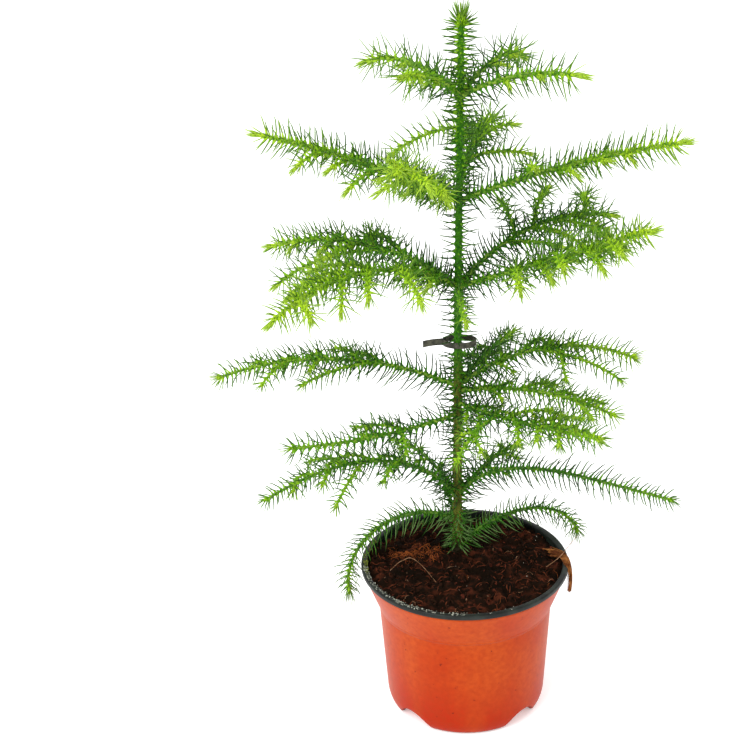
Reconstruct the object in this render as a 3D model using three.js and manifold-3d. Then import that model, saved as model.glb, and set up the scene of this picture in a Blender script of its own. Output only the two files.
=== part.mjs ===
// A young Norfolk Island pine in a nursery pot. Millimetres, +Z up.
// The origin is the centre of the pot's flat underside, +X is the plant's right and -Y its front.

import * as THREE from 'three';
import { mergeVertices } from 'three/addons/utils/BufferGeometryUtils.js';
import Module from 'manifold-3d';

const wasm = await Module();
wasm.setup();

// Clearance between neighbouring solids.
const GAP = 0.3;

// Pot: a thin tapered cup that flares above a faint collar to a rolled lip, with arched notches in
// its foot.
const POT_HEIGHT = 91;
const RIM_RADIUS = 60;
const LIP_HEIGHT = 3;
const LIP_WIDTH = 3.2;
const LIP_ROUND = 1;
const COLLAR_DROP = 25;
const COLLAR_RADIUS = 50.8;
const COLLAR_STEP = 0.6;
const SHOULDER_RADIUS = 46.3;
const FOOT_RADIUS = 41;
const FOOT_ROUND = 9;
const FOOT_BULGE = 1;
const WALL = 1.2;
const LIP_BOTTOM = POT_HEIGHT - LIP_HEIGHT;
const COLLAR_HEIGHT = POT_HEIGHT - COLLAR_DROP;
const POT_SEGMENTS = 32;
const CORNER_STEPS = 3;

const NOTCH_COUNT = 4;
const NOTCH_WIDTH = 25;
const NOTCH_HEIGHT = 12.6;
const NOTCH_TURN = 1.5;
const NOTCH_INNER_RADIUS = 36;
const NOTCH_FIRST = 45;
const NOTCH_SHOULDER = 0.6;
const NOTCH_BELOW = 2;
const NOTCH_STEPS = 8;

// Soil: fills the pot to the lip's underside and is heaped to a low flat crown that the trunk
// stands on.
const SOIL_CROWN_HEIGHT = 90.4;
const SOIL_CROWN_RADIUS = 21;
const SOIL_SLOPE_RADIUS = 29;
const SOIL_SLOPE_DROP = 1;

// Trunk: a slim leader with a slight bow, flared where it leaves the soil.
const TRUNK_FOOT = new THREE.Vector3(-4, 14, SOIL_CROWN_HEIGHT + GAP);
const TRUNK_TIP = new THREE.Vector3(1, 14, 414);
const TRUNK_BOW = -0.8;
const TRUNK_RADIUS = 2.1;
const TRUNK_TIP_RADIUS = 0.8;
const TRUNK_FLARE = 1.5;
const TRUNK_FLARE_HEIGHT = 6;
const TRUNK_SIDES = 6;
const TRUNK_PITCH = 6.5;

// Limbs: a bare bough near the trunk, then a needled stem with needled twigs in two rows.
const BOUGH_LENGTH = 9;
const BOUGH_RADIUS = 1.05;
const STEM_RADIUS = 1;
const STEM_TIP_RADIUS = 0.55;
const STEM_SIDES = 3;
const STEM_PITCH = 5.9;
const BOUGH_SIDES = 6;
const TWIG_RADIUS = 0.75;
const TWIG_ANGLE = 56;
const TWIG_TURN = 8;
const TWIG_FOLLOW = 0.5;
const TWIG_LIFT = 5;
const TWIG_DROOP = 44;
const TWIG_FIRST = 0.28;
const TWIG_LAST = 0.86;
const TWIG_SHRINK = 0.6;
const TWIG_SHORTEST = 8;
const TWIG_STAGGER = 0.4;
const TWIG_VARIATION = 0.2;
const PLACE_VARIATION = 0.4;
const ANGLE_VARIATION = 0.12;
const DROOP_VARIATION = 0.4;
const TWIG_CLEARANCE = 6;
const TWIG_TESTS = 12;

// Needles: awl-shaped leaves that run down into the stem and lean towards its tip.
const NEEDLE_LENGTH = 8.2;
const NEEDLE_LEAN = 36;
const NEEDLE_VARIATION = 0.14;
const NEEDLE_CLEARANCE = 1.2;
const NEEDLE_TWIST = 25;
const NEEDLE_TESTS = [0.4, 0.7, 1];
const SHARED_SPACE = 0.8;
const TRUNK_NEEDLE_LENGTH = 6.2;

// Tie: a soft flat band looped round the trunk, with a short tail.
const TIE_HEIGHT = 221;
const TIE_BAND = 3.2;
const TIE_THICKNESS = 0.9;
const TIE_HALF_WIDTH = 9.5;
const TIE_HALF_DEPTH = 5.5;
const TIE_SIDE_SHIFT = 1;
const TIE_TAIL = 9;
const TIE_TILT = 8;
const TIE_STEPS = 14;
const TIE_KEEP_OUT = 13;

const SEED = 7;

// Boughs in tiers from the top, each tier at its height on the trunk. Angles are in degrees: a
// heading of 0 is right and 90 is back, and turn bends it along the bough. The rise goes from the
// root's to the tip's, sooner where bend is over 1. A lift sets a root above or below its tier.
// Twigs stand in pairs, and twig is the length of one at the very root.
const TIERS = [
  { height: 365, boughs: [
    { side: 'left', heading: 154, turn: -16, length: 71, rise: [43, -30], pairs: 2, twig: 20 },
    { side: 'front_left', heading: 230, turn: 18, length: 66, rise: [42, 4], pairs: 2, twig: 18 },
    { side: 'right', heading: -11, turn: -6, length: 70, rise: [32, -8], pairs: 2, twig: 20 },
    { side: 'back_right', heading: 48, turn: 18, length: 73, rise: [40, -34], pairs: 2, twig: 20 },
  ] },
  { height: 307, boughs: [
    { side: 'left', heading: 178, turn: -4, length: 116, rise: [26, 11], pairs: 4, twig: 36 },
    { side: 'front', heading: 246, turn: 8, length: 108, rise: [28, 30], pairs: 3, twig: 44 },
    { side: 'right', heading: -3, turn: 0, length: 125, rise: [23, 6], pairs: 4, twig: 36 },
    { side: 'back', heading: 84, turn: -12, length: 104, rise: [27, -10], pairs: 3, twig: 58 },
  ] },
  { height: 257, boughs: [
    { side: 'back_left', heading: 158, turn: 2, length: 120, rise: [38, -30], pairs: 4, twig: 42 },
    { side: 'front_left', heading: 204, turn: 16, length: 124, rise: [36, -31], pairs: 5, twig: 54 },
    { side: 'front', heading: 267, turn: 9, length: 59, rise: [17, -10], pairs: 1, twig: 20, lift: -2 },
    { side: 'front_right', heading: -29, turn: 9, length: 123, rise: [26, 18], pairs: 5, twig: 46 },
    { side: 'back_right', heading: 40, turn: -9, length: 117, rise: [37, -21], pairs: 4, twig: 52 },
  ] },
  { height: 196, boughs: [
    { side: 'left', heading: 178, turn: 1, length: 140, rise: [26, -22], pairs: 5, twig: 42 },
    { side: 'front_left', heading: 220, turn: -12, length: 114, rise: [2, 4], pairs: 4, twig: 42, lift: -17 },
    { side: 'front_right', heading: -50, turn: 12, length: 106, rise: [5, 3], pairs: 4, twig: 44, lift: -10 },
    { side: 'right', heading: -12, turn: 12, length: 92, rise: [10, -30], pairs: 3, twig: 36, lift: -3 },
    { side: 'back_right', heading: 19, turn: -12, length: 110, rise: [34, -28], pairs: 4, twig: 42 },
    { side: 'back', heading: 64, turn: 8, length: 84, rise: [8, -14], pairs: 3, twig: 36, lift: 1 },
  ] },
  { height: 126, boughs: [
    { side: 'left', heading: 196, turn: -4, length: 130, rise: [66, -17], bend: 3, pairs: 4, twig: 46, lift: 6 },
    { side: 'right', heading: -6, turn: 4, length: 133, rise: [66, -16], bend: 3, lift: -6 },
    { side: 'back_right', heading: 52, turn: 4, length: 66, rise: [28, -18], pairs: 2, twig: 22 },
    { side: 'back_left', heading: 124, turn: 0, length: 74, rise: [30, -20], pairs: 2, twig: 24 },
  ] },
  { height: 104, boughs: [
    { side: 'left', heading: 190, turn: 6, length: 97, rise: [34, -98], lift: 6 },
    { side: 'right', heading: 20, turn: 14, length: 94, rise: [32, -58], lift: -6 },
    { side: 'back', heading: 102, turn: 0, length: 56, rise: [34, -20] },
  ] },
];

const MATERIALS = {
  pot: new THREE.MeshStandardMaterial({ color: 0xd8532b, roughness: 0.5, metalness: 0 }),
  soil: new THREE.MeshStandardMaterial({ color: 0x2a1810, roughness: 0.95, metalness: 0 }),
  trunk: new THREE.MeshStandardMaterial({ color: 0x4c5a1e, roughness: 0.8, metalness: 0 }),
  bough: new THREE.MeshStandardMaterial({ color: 0x3f6a1a, roughness: 0.8, metalness: 0 }),
  needles: new THREE.MeshStandardMaterial({ color: 0x3a8a1c, roughness: 0.6, metalness: 0 }),
  tie: new THREE.MeshStandardMaterial({ color: 0x38342c, roughness: 0.7, metalness: 0 }),
};

const UP = new THREE.Vector3(0, 0, 1);
const TURN = 2 * Math.PI;
const CURVE_STEPS = 24;
const START_STEP = 0.1;
const UPRIGHT = 0.2;

// Repeatable random numbers from 0 to 1 (a mixing generator with a 32-bit state).
function seededRandom(seed) {
  let state = seed;
  return () => {
    state = (state + 0x6d2b79f5) | 0;
    let mixed = Math.imul(state ^ (state >>> 15), 1 | state);
    mixed = (mixed + Math.imul(mixed ^ (mixed >>> 7), 61 | mixed)) ^ mixed;
    return ((mixed ^ (mixed >>> 14)) >>> 0) / 4294967296;
  };
}

const random = seededRandom(SEED);

// A number within the given share above or below 1.
function around(share) {
  return 1 + share * (2 * random() - 1);
}

// Unit vector of a heading and a rise in degrees.
function directionOf(heading, rise) {
  const level = Math.cos(THREE.MathUtils.degToRad(rise));
  const angle = THREE.MathUtils.degToRad(heading);
  const height = Math.sin(THREE.MathUtils.degToRad(rise));
  return new THREE.Vector3(level * Math.cos(angle), level * Math.sin(angle), height);
}

// The trunk's centre line: a straight lean from foot to tip with one sideways bow.
class TrunkLine extends THREE.Curve {
  getPoint(t, target = new THREE.Vector3()) {
    target.lerpVectors(TRUNK_FOOT, TRUNK_TIP, t);
    target.x += TRUNK_BOW * Math.sin(Math.PI * t);
    return target;
  }

  pointAtHeight(height) {
    return this.getPoint((height - TRUNK_FOOT.z) / (TRUNK_TIP.z - TRUNK_FOOT.z));
  }
}

// A limb's centre line, stepped out from its root by its heading and its rise.
function limbLine(root, { heading, turn, length, rise: [rootRise, tipRise], bend = 1 }) {
  const points = [root.clone()];
  for (let step = 0; step < CURVE_STEPS; step += 1) {
    const t = (step + 0.5) / CURVE_STEPS;
    const rise = tipRise + (rootRise - tipRise) * (1 - t) ** bend;
    const move = directionOf(heading + turn * t, rise).multiplyScalar(length / CURVE_STEPS);
    points.push(points[step].clone().add(move));
  }
  return new THREE.CatmullRomCurve3(points);
}

// A tapered many-sided limb along a curve. Each face between two rings may be drawn out to a
// point, which makes a needle whose foot runs down the limb.
class LimbGeometry extends THREE.BufferGeometry {
  constructor({ curve, from, to, sides, pitch, radiusAt, pointed, needles }) {
    super();
    this.positions = [];
    this.faces = [];
    const total = curve.getLength();
    const spans = Math.max(2, Math.round((to - from) / pitch));
    const rings = [];
    let normal = new THREE.Vector3().crossVectors(UP, curve.getTangentAt(from / total));
    if (normal.length() < UPRIGHT) {
      normal.set(1, 0, 0);
    }
    for (let i = 0; i <= spans; i += 1) {
      const along = from + ((to - from) * i) / spans;
      const centre = curve.getPointAt(Math.min(1, along / total));
      const tangent = curve.getTangentAt(Math.min(1, along / total));
      normal = normal.clone().addScaledVector(tangent, -normal.dot(tangent)).normalize();
      const across = new THREE.Vector3().crossVectors(tangent, normal);
      const twist = needles ? THREE.MathUtils.degToRad(NEEDLE_TWIST) * i : 0;
      rings.push({ centre, tangent, corners: [] });
      const corners = pointed && i === spans ? 1 : sides;
      const radius = corners === 1 ? 0 : radiusAt(along);
      for (let k = 0; k < corners; k += 1) {
        const angle = (TURN * k) / sides + twist;
        const corner = centre.clone().addScaledVector(normal, radius * Math.cos(angle));
        corner.addScaledVector(across, radius * Math.sin(angle));
        rings[i].corners.push(this.addPoint(corner));
      }
    }
    this.closeEnd(rings[0].corners, true);
    for (let i = 0; i < spans; i += 1) {
      this.joinRings(rings[i], rings[i + 1], i, sides, needles);
    }
    if (!pointed) {
      this.closeEnd(rings[spans].corners, false);
    }
    this.setAttribute('position', new THREE.Float32BufferAttribute(this.positions, 3));
    this.setIndex(this.faces);
  }

  addPoint(point) {
    this.positions.push(point.x, point.y, point.z);
    return this.positions.length / 3 - 1;
  }

  pointOf(index) {
    return new THREE.Vector3().fromArray(this.positions, 3 * index);
  }

  closeEnd(corners, start) {
    for (let k = 1; k < corners.length - 1; k += 1) {
      const pair = start ? [corners[k + 1], corners[k]] : [corners[k], corners[k + 1]];
      this.faces.push(corners[0], ...pair);
    }
  }

  joinRings(lower, upper, row, sides, needles) {
    for (let k = 0; k < sides; k += 1) {
      const next = (k + 1) % sides;
      if (upper.corners.length === 1) {
        this.faces.push(lower.corners[k], lower.corners[next], upper.corners[0]);
        continue;
      }
      const loop = [lower.corners[k], lower.corners[next], upper.corners[next], upper.corners[k]];
      const tip = needles ? this.needleTip(loop, lower, upper, row, k, needles) : null;
      if (tip) {
        const apex = this.addPoint(tip);
        loop.forEach((corner, j) => this.faces.push(corner, loop[(j + 1) % 4], apex));
      } else {
        this.faces.push(loop[0], loop[1], loop[2], loop[0], loop[2], loop[3]);
      }
    }
  }

  // The point of the needle on one face, or null where the needle is left off.
  needleTip(loop, lower, upper, row, column, needles) {
    const reach = needles.length * around(NEEDLE_VARIATION);
    if (needles.everyOther && (row + column) % 2) {
      return null;
    }
    const foot = loop.reduce((sum, index) => sum.add(this.pointOf(index)), new THREE.Vector3());
    foot.multiplyScalar(1 / loop.length);
    const axis = new THREE.Vector3().lerpVectors(lower.centre, upper.centre, 0.5);
    const lean = THREE.MathUtils.degToRad(NEEDLE_LEAN);
    const tip = foot.clone().addScaledVector(lower.tangent, reach * Math.sin(lean));
    tip.addScaledVector(foot.clone().sub(axis).normalize(), reach * Math.cos(lean));
    return needles.allowed(foot, tip) ? tip : null;
  }
}

// Centre lines of everything that grows, sampled so that each limb can keep its own space.
const SAMPLE_STEP = 2.5;
const samples = [];

function addSamples(curve, owner, line, radius) {
  const count = Math.ceil(curve.getLength() / SAMPLE_STEP);
  for (let i = 0; i <= count; i += 1) {
    samples.push({ place: curve.getPointAt(i / count), owner, line, radius });
  }
}

const trunkLine = new TrunkLine();
const tieCentre = trunkLine.pointAtHeight(TIE_HEIGHT);

// True where a point lies in or just off the pot, the soil or the tie.
function blocked(point) {
  const inPot = point.z < POT_HEIGHT + NEEDLE_CLEARANCE
    && Math.hypot(point.x, point.y) < RIM_RADIUS + NEEDLE_CLEARANCE;
  const offTie = point.clone().sub(tieCentre);
  const inTie = Math.abs(offTie.z) < TIE_BAND + NEEDLE_CLEARANCE
    && Math.hypot(offTie.x, offTie.y) < TIE_KEEP_OUT;
  return inPot || inTie;
}

// A needle stands where its length is nearer to its own line than to any other line, and clear
// of the space of any other limb.
function needleRule(owner, line) {
  return (foot, tip) => NEEDLE_TESTS.every((share) => {
    const point = foot.clone().lerp(tip, share);
    const own = point.distanceTo(foot);
    return !blocked(point) && samples.every((sample) => {
      const away = point.distanceTo(sample.place) - sample.radius;
      const sameLimb = sample.owner === owner;
      return sample.line === line || away > (sameLimb ? SHARED_SPACE * own : own + NEEDLE_CLEARANCE);
    });
  });
}

// A twig grows where its whole line stays clear of every other limb and of the pot.
function twigFits(curve, owner, siblings) {
  const points = curve.getSpacedPoints(TWIG_TESTS).slice(TWIG_TESTS / 4);
  return points.every((point) => !blocked(point) && samples.every((sample) => {
    if (sample.owner === owner && !siblings.has(sample.line)) {
      return true;
    }
    return point.distanceTo(sample.place) - sample.radius > TWIG_CLEARANCE;
  }));
}

// The twigs of one bough, in pairs that shorten towards its tip.
function growTwigs(bough, curve, owner) {
  const twigs = [];
  const siblings = new Set();
  const pairs = bough.pairs ?? 0;
  for (let pair = 0; pair < pairs; pair += 1) {
    for (const sideways of [-1, 1]) {
      const spread = (TWIG_LAST - TWIG_FIRST) / pairs;
      const stagger = sideways > 0 ? TWIG_STAGGER : 0;
      const place = TWIG_FIRST + spread * (pair + stagger + PLACE_VARIATION * random());
      const full = bough.twig * (1 - TWIG_SHRINK * place);
      const length = Math.max(TWIG_SHORTEST, full * around(TWIG_VARIATION));
      const tangent = curve.getTangentAt(place);
      const heading = THREE.MathUtils.radToDeg(Math.atan2(tangent.y, tangent.x));
      const rise = TWIG_FOLLOW * THREE.MathUtils.radToDeg(Math.asin(tangent.z)) + TWIG_LIFT;
      const line = limbLine(curve.getPointAt(place), {
        heading: heading + sideways * TWIG_ANGLE * around(ANGLE_VARIATION),
        turn: -sideways * TWIG_TURN,
        length,
        rise: [rise, rise - TWIG_DROOP * around(DROOP_VARIATION)],
      });
      const name = `${owner}:${pair}:${sideways}`;
      if (twigFits(line, owner, siblings)) {
        addSamples(line, owner, name, TWIG_RADIUS);
        siblings.add(name);
        twigs.push({ line, name });
      }
    }
  }
  return twigs;
}

// A closed geometry as a solid that can be joined and cut.
function solidOf(geometry) {
  const bare = new THREE.BufferGeometry().copy(geometry);
  bare.deleteAttribute('normal');
  bare.deleteAttribute('uv');
  const merged = mergeVertices(bare);
  const corners = Array.from(merged.index.array);
  const triangles = [];
  for (let i = 0; i < corners.length; i += 3) {
    const [a, b, c] = corners.slice(i, i + 3);
    if (a !== b && b !== c && c !== a) {
      triangles.push(a, b, c);
    }
  }
  return new wasm.Manifold(new wasm.Mesh({
    numProp: 3,
    vertProperties: new Float32Array(merged.attributes.position.array),
    triVerts: new Uint32Array(triangles),
  }));
}

// A solid's surface as a geometry.
function geometryOf(solid) {
  const mesh = solid.getMesh();
  const geometry = new THREE.BufferGeometry();
  geometry.setAttribute('position', new THREE.BufferAttribute(mesh.vertProperties, 3));
  geometry.setIndex(new THREE.BufferAttribute(mesh.triVerts, 1));
  return geometry;
}

// Joins solids and keeps the largest body, without loose scraps or sealed hollows.
function fuse(solids) {
  const whole = solids.reduce((sum, solid) => sum.add(solid));
  const bodies = whole.decompose();
  return bodies.reduce((best, body) => (body.volume() > best.volume() ? body : best));
}

function named(name, geometry, material) {
  const mesh = new THREE.Mesh(geometry, material);
  mesh.name = name;
  return mesh;
}

// Outline of the pot's outer face from the axis to the top of the lip.
function potOutline() {
  const outline = new THREE.Path();
  outline.moveTo(0, 0);
  outline.lineTo(FOOT_RADIUS, 0);
  outline.quadraticCurveTo(SHOULDER_RADIUS - FOOT_BULGE, 0, SHOULDER_RADIUS, FOOT_ROUND);
  outline.lineTo(COLLAR_RADIUS - COLLAR_STEP, COLLAR_HEIGHT);
  outline.lineTo(COLLAR_RADIUS, COLLAR_HEIGHT + COLLAR_STEP);
  outline.lineTo(RIM_RADIUS - LIP_ROUND, LIP_BOTTOM);
  outline.lineTo(RIM_RADIUS, LIP_BOTTOM + LIP_ROUND);
  outline.lineTo(RIM_RADIUS, POT_HEIGHT - LIP_ROUND);
  outline.lineTo(RIM_RADIUS - LIP_ROUND, POT_HEIGHT);
  outline.lineTo(0, POT_HEIGHT);
  return outline.getPoints(CORNER_STEPS);
}

// The outline inside the wall up to the lip's underside, drawn in by a margin.
function innerOutline(margin) {
  const outline = new THREE.Path();
  const inset = WALL + COLLAR_STEP + margin;
  const floor = WALL + margin;
  const shoulder = SHOULDER_RADIUS - inset;
  outline.moveTo(0, floor);
  outline.lineTo(FOOT_RADIUS - margin, floor);
  outline.quadraticCurveTo(shoulder - FOOT_BULGE, floor, shoulder, FOOT_ROUND + margin);
  outline.lineTo(COLLAR_RADIUS - inset, COLLAR_HEIGHT);
  outline.lineTo(RIM_RADIUS - LIP_WIDTH - margin, LIP_BOTTOM);
  return outline;
}

function potCavity() {
  const outline = innerOutline(0);
  outline.lineTo(RIM_RADIUS - LIP_WIDTH, POT_HEIGHT - LIP_ROUND);
  outline.lineTo(RIM_RADIUS - LIP_WIDTH + LIP_ROUND, POT_HEIGHT + LIP_ROUND);
  outline.lineTo(0, POT_HEIGHT + LIP_ROUND);
  return outline.getPoints(CORNER_STEPS);
}

function soilOutline() {
  const outline = innerOutline(GAP);
  outline.quadraticCurveTo(
    SOIL_SLOPE_RADIUS, SOIL_CROWN_HEIGHT - SOIL_SLOPE_DROP, SOIL_CROWN_RADIUS, SOIL_CROWN_HEIGHT);
  outline.lineTo(0, SOIL_CROWN_HEIGHT);
  return outline.getPoints(CORNER_STEPS);
}

// A solid of revolution about Z.
function turned(points) {
  const geometry = new THREE.LatheGeometry(points, POT_SEGMENTS);
  geometry.rotateX(Math.PI / 2);
  return solidOf(geometry);
}

// The arched notches in the foot, grown all round by a margin.
function notches(margin) {
  const arch = new THREE.Shape();
  const half = NOTCH_WIDTH / 2 + margin;
  const top = NOTCH_HEIGHT + margin;
  const shoulder = NOTCH_SHOULDER * half;
  arch.moveTo(-half, -NOTCH_BELOW);
  arch.lineTo(half, -NOTCH_BELOW);
  arch.lineTo(half, 0);
  arch.bezierCurveTo(shoulder, top, -shoulder, top, -half, 0);
  const inner = NOTCH_INNER_RADIUS - margin;
  const cutter = new THREE.ExtrudeGeometry(arch, {
    depth: RIM_RADIUS - inner, bevelEnabled: false, curveSegments: NOTCH_STEPS,
  });
  cutter.translate(0, 0, inner);
  cutter.rotateX(Math.PI / 2);
  const solids = [];
  for (let i = 0; i < NOTCH_COUNT; i += 1) {
    const turn = THREE.MathUtils.degToRad(NOTCH_FIRST + NOTCH_TURN) + (TURN * i) / NOTCH_COUNT;
    solids.push(solidOf(cutter.clone().rotateZ(turn)));
  }
  return solids.reduce((sum, solid) => sum.add(solid));
}

function makePot() {
  const cavity = turned(potCavity()).subtract(notches(WALL));
  const pot = turned(potOutline()).subtract(notches(0)).subtract(cavity);
  return named('pot', geometryOf(pot), MATERIALS.pot);
}

function makeSoil() {
  const soil = turned(soilOutline()).subtract(notches(WALL + GAP));
  return named('soil', geometryOf(soil), MATERIALS.soil);
}

function makeTrunk() {
  const length = trunkLine.getLength();
  const geometry = new LimbGeometry({
    curve: trunkLine,
    from: 0,
    to: length,
    sides: TRUNK_SIDES,
    pitch: TRUNK_PITCH,
    pointed: true,
    radiusAt: trunkRadius,
    needles: { length: TRUNK_NEEDLE_LENGTH, everyOther: true, allowed: needleRule('trunk', 'trunk') },
  });
  return named('trunk', geometry, MATERIALS.trunk);
}

// Radius of the trunk at a distance along it, with the flare at its foot.
function trunkRadius(along) {
  const taper = THREE.MathUtils.lerp(TRUNK_RADIUS, TRUNK_TIP_RADIUS, along / trunkLine.getLength());
  return taper + TRUNK_FLARE * Math.exp(-along / TRUNK_FLARE_HEIGHT);
}

// Distance along a bough's line at which its foot is just clear of the trunk.
function boughStart(curve) {
  const total = curve.getLength();
  let along = 0;
  let clear = 0;
  while (clear < GAP) {
    along += START_STEP;
    const point = curve.getPointAt(along / total);
    const axis = trunkLine.pointAtHeight(point.z);
    const lean = Math.abs(curve.getTangentAt(along / total).z);
    clear = point.distanceTo(axis) - BOUGH_RADIUS * lean - trunkRadius(point.z - TRUNK_FOOT.z);
  }
  return along;
}

// The bare foot of a bough, from just off the trunk to where its needles start.
function makeBough(name, limb) {
  const from = limb.start;
  const to = from + BOUGH_LENGTH;
  const radiusAt = (along) => THREE.MathUtils.mapLinear(along, from, to, BOUGH_RADIUS, STEM_RADIUS);
  const geometry = new LimbGeometry({
    curve: limb.curve, from, to, sides: BOUGH_SIDES, pitch: BOUGH_LENGTH, radiusAt, pointed: false,
  });
  return named(name, geometry, MATERIALS.bough);
}

// One needled line, as a stem or a twig of a spray.
function needledLine(curve, from, rootRadius, owner, line) {
  const to = curve.getLength();
  const radiusAt = (along) => THREE.MathUtils.mapLinear(along, from, to, rootRadius, STEM_TIP_RADIUS);
  return solidOf(new LimbGeometry({
    curve,
    from,
    to,
    sides: STEM_SIDES,
    pitch: STEM_PITCH,
    pointed: true,
    radiusAt,
    needles: { length: NEEDLE_LENGTH, everyOther: false, allowed: needleRule(owner, line) },
  }));
}

function makeSpray(name, limb) {
  const from = limb.start + BOUGH_LENGTH + GAP;
  const stem = needledLine(limb.curve, from, STEM_RADIUS, limb.owner, limb.owner);
  const twigs = limb.twigs.map((twig) => needledLine(twig.line, 0, TWIG_RADIUS, limb.owner, twig.name));
  return named(name, geometryOf(fuse([stem, ...twigs])), MATERIALS.needles);
}

// A loop of flat band with a tail on its left, tilted a little to the front.
function makeTie() {
  const loop = new THREE.Shape();
  loop.absellipse(0, 0, TIE_HALF_WIDTH, TIE_HALF_DEPTH, 0, TURN, false, 0);
  const hole = new THREE.Path();
  hole.absellipse(0, 0, TIE_HALF_WIDTH - TIE_THICKNESS, TIE_HALF_DEPTH - TIE_THICKNESS, 0, TURN, true, 0);
  loop.holes.push(hole);
  const band = { depth: TIE_BAND, bevelEnabled: false, curveSegments: TIE_STEPS };
  const ring = new THREE.ExtrudeGeometry(loop, band);
  const tail = new THREE.BoxGeometry(TIE_TAIL, TIE_THICKNESS, TIE_BAND);
  tail.translate(-TIE_HALF_WIDTH - TIE_TAIL / 2 + TIE_THICKNESS / 2, 0, TIE_BAND / 2);
  const geometry = geometryOf(fuse([solidOf(ring), solidOf(tail)]));
  geometry.translate(0, 0, -TIE_BAND / 2);
  const tie = named('tie', geometry, MATERIALS.tie);
  const seat = trunkRadius(TIE_HEIGHT - TRUNK_FOOT.z) + GAP;
  tie.position.copy(tieCentre);
  tie.position.x += TIE_SIDE_SHIFT;
  tie.position.y += TIE_HALF_DEPTH - TIE_THICKNESS - seat;
  tie.rotation.y = THREE.MathUtils.degToRad(TIE_TILT);
  return tie;
}

// Every bough's line is laid out first, so that twigs and needles can keep clear of all of them.
const limbs = [];
TIERS.forEach((tier, index) => tier.boughs.forEach((bough) => {
  const owner = `${index + 1}_${bough.side}`;
  const curve = limbLine(trunkLine.pointAtHeight(tier.height + (bough.lift ?? 0)), bough);
  addSamples(curve, owner, owner, STEM_RADIUS);
  limbs.push({ owner, bough, curve, start: boughStart(curve), twigs: [] });
}));
addSamples(trunkLine, 'trunk', 'trunk', TRUNK_RADIUS);
limbs.forEach((limb) => {
  limb.twigs = growTwigs(limb.bough, limb.curve, limb.owner);
});

const plant = new THREE.Group();
plant.add(makePot());
plant.add(makeSoil());
plant.add(makeTrunk());
plant.add(makeTie());
limbs.forEach((limb) => {
  plant.add(makeBough(`bough_${limb.owner}`, limb));
  plant.add(makeSpray(`spray_${limb.owner}`, limb));
});

export default plant;
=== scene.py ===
# %% [markdown]
# # A potted Norfolk Island pine
# A young conifer stands in an orange nursery pot, with its boughs in flat tiers round one slim
# trunk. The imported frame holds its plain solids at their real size. This lesson dresses them: pot,
# soil, bark and needles are worked out as numpy arrays in the same place, and Blender shows them.

# %% The fixed frame
from collections import namedtuple

import bpy
import numpy as np
from mathutils import Matrix, Vector


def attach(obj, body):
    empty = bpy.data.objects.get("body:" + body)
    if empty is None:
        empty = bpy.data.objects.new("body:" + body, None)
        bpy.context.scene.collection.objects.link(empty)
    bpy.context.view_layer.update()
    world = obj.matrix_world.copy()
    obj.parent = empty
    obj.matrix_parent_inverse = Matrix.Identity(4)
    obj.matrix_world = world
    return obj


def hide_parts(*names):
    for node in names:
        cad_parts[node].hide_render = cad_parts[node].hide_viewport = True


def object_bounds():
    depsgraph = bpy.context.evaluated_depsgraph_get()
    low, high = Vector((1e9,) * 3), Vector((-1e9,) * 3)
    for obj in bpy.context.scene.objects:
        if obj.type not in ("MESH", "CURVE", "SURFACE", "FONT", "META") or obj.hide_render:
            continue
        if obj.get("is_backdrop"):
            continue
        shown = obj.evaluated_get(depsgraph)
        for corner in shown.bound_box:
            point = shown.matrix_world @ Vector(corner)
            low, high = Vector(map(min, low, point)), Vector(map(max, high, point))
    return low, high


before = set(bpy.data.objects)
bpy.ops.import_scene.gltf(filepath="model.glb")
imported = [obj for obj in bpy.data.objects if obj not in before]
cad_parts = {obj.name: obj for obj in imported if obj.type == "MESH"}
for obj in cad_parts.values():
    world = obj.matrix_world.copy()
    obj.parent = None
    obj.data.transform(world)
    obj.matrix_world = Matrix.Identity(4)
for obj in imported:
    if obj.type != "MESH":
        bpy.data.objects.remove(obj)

MM = 0.001
TURN = 2 * np.pi
cad_low, cad_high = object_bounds()
SPRAYS = sorted(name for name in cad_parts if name.startswith("spray_"))
print("frame:", len(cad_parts), "nodes,", len(SPRAYS), "of them sprays")

# %% [markdown]
# ## Camera
# The plant is seen from about a metre away and from above its tip, so the pot's mouth shows as an
# ellipse. A camera could be aimed by eye with a Track To constraint. Writing its axes out from three
# angles keeps the small roll of the picture too, and the long lens keeps the pot's sides upright.

# %% Camera
CAMERA_PLACE = (0, -941.8, 659.2)
CAMERA_YAW = -3.187
CAMERA_PITCH = 25.235
CAMERA_ROLL = -1.852
CAMERA_LENS = 92.2


def camera_matrix(place, yaw, pitch, roll):
    """Looks ahead along +Y turned right by yaw and down by pitch, then rolled about that line."""
    yaw, pitch, roll = np.radians([yaw, pitch, roll])
    ahead = np.array([np.sin(yaw) * np.cos(pitch), np.cos(yaw) * np.cos(pitch), -np.sin(pitch)])
    level = np.array([np.cos(yaw), -np.sin(yaw), 0])
    above = np.cross(level, ahead)
    right = np.cos(roll) * level + np.sin(roll) * above
    up = np.cos(roll) * above - np.sin(roll) * level
    matrix = np.eye(4)
    matrix[:3, :] = np.column_stack([right, up, -ahead, np.array(place) * MM])
    return Matrix(matrix.tolist())


camera = bpy.data.objects.new("camera", bpy.data.cameras.new("camera"))
camera.data.lens = CAMERA_LENS
camera.matrix_world = camera_matrix(CAMERA_PLACE, CAMERA_YAW, CAMERA_PITCH, CAMERA_ROLL)
bpy.context.scene.collection.objects.link(camera)
bpy.context.scene.camera = camera
print("camera: lens", CAMERA_LENS, "mm, pitched", CAMERA_PITCH, "degrees down")

# %% [markdown]
# ## Floor and light
# The plant is shown on white, in light that comes from all round with hardly a shadow. A white world
# gives most of it, and the floor has a faint glow that keeps it white. Two large soft boxes add the
# little shape that pot and trunk need, and the Standard view keeps the colours as mixed here.

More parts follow.
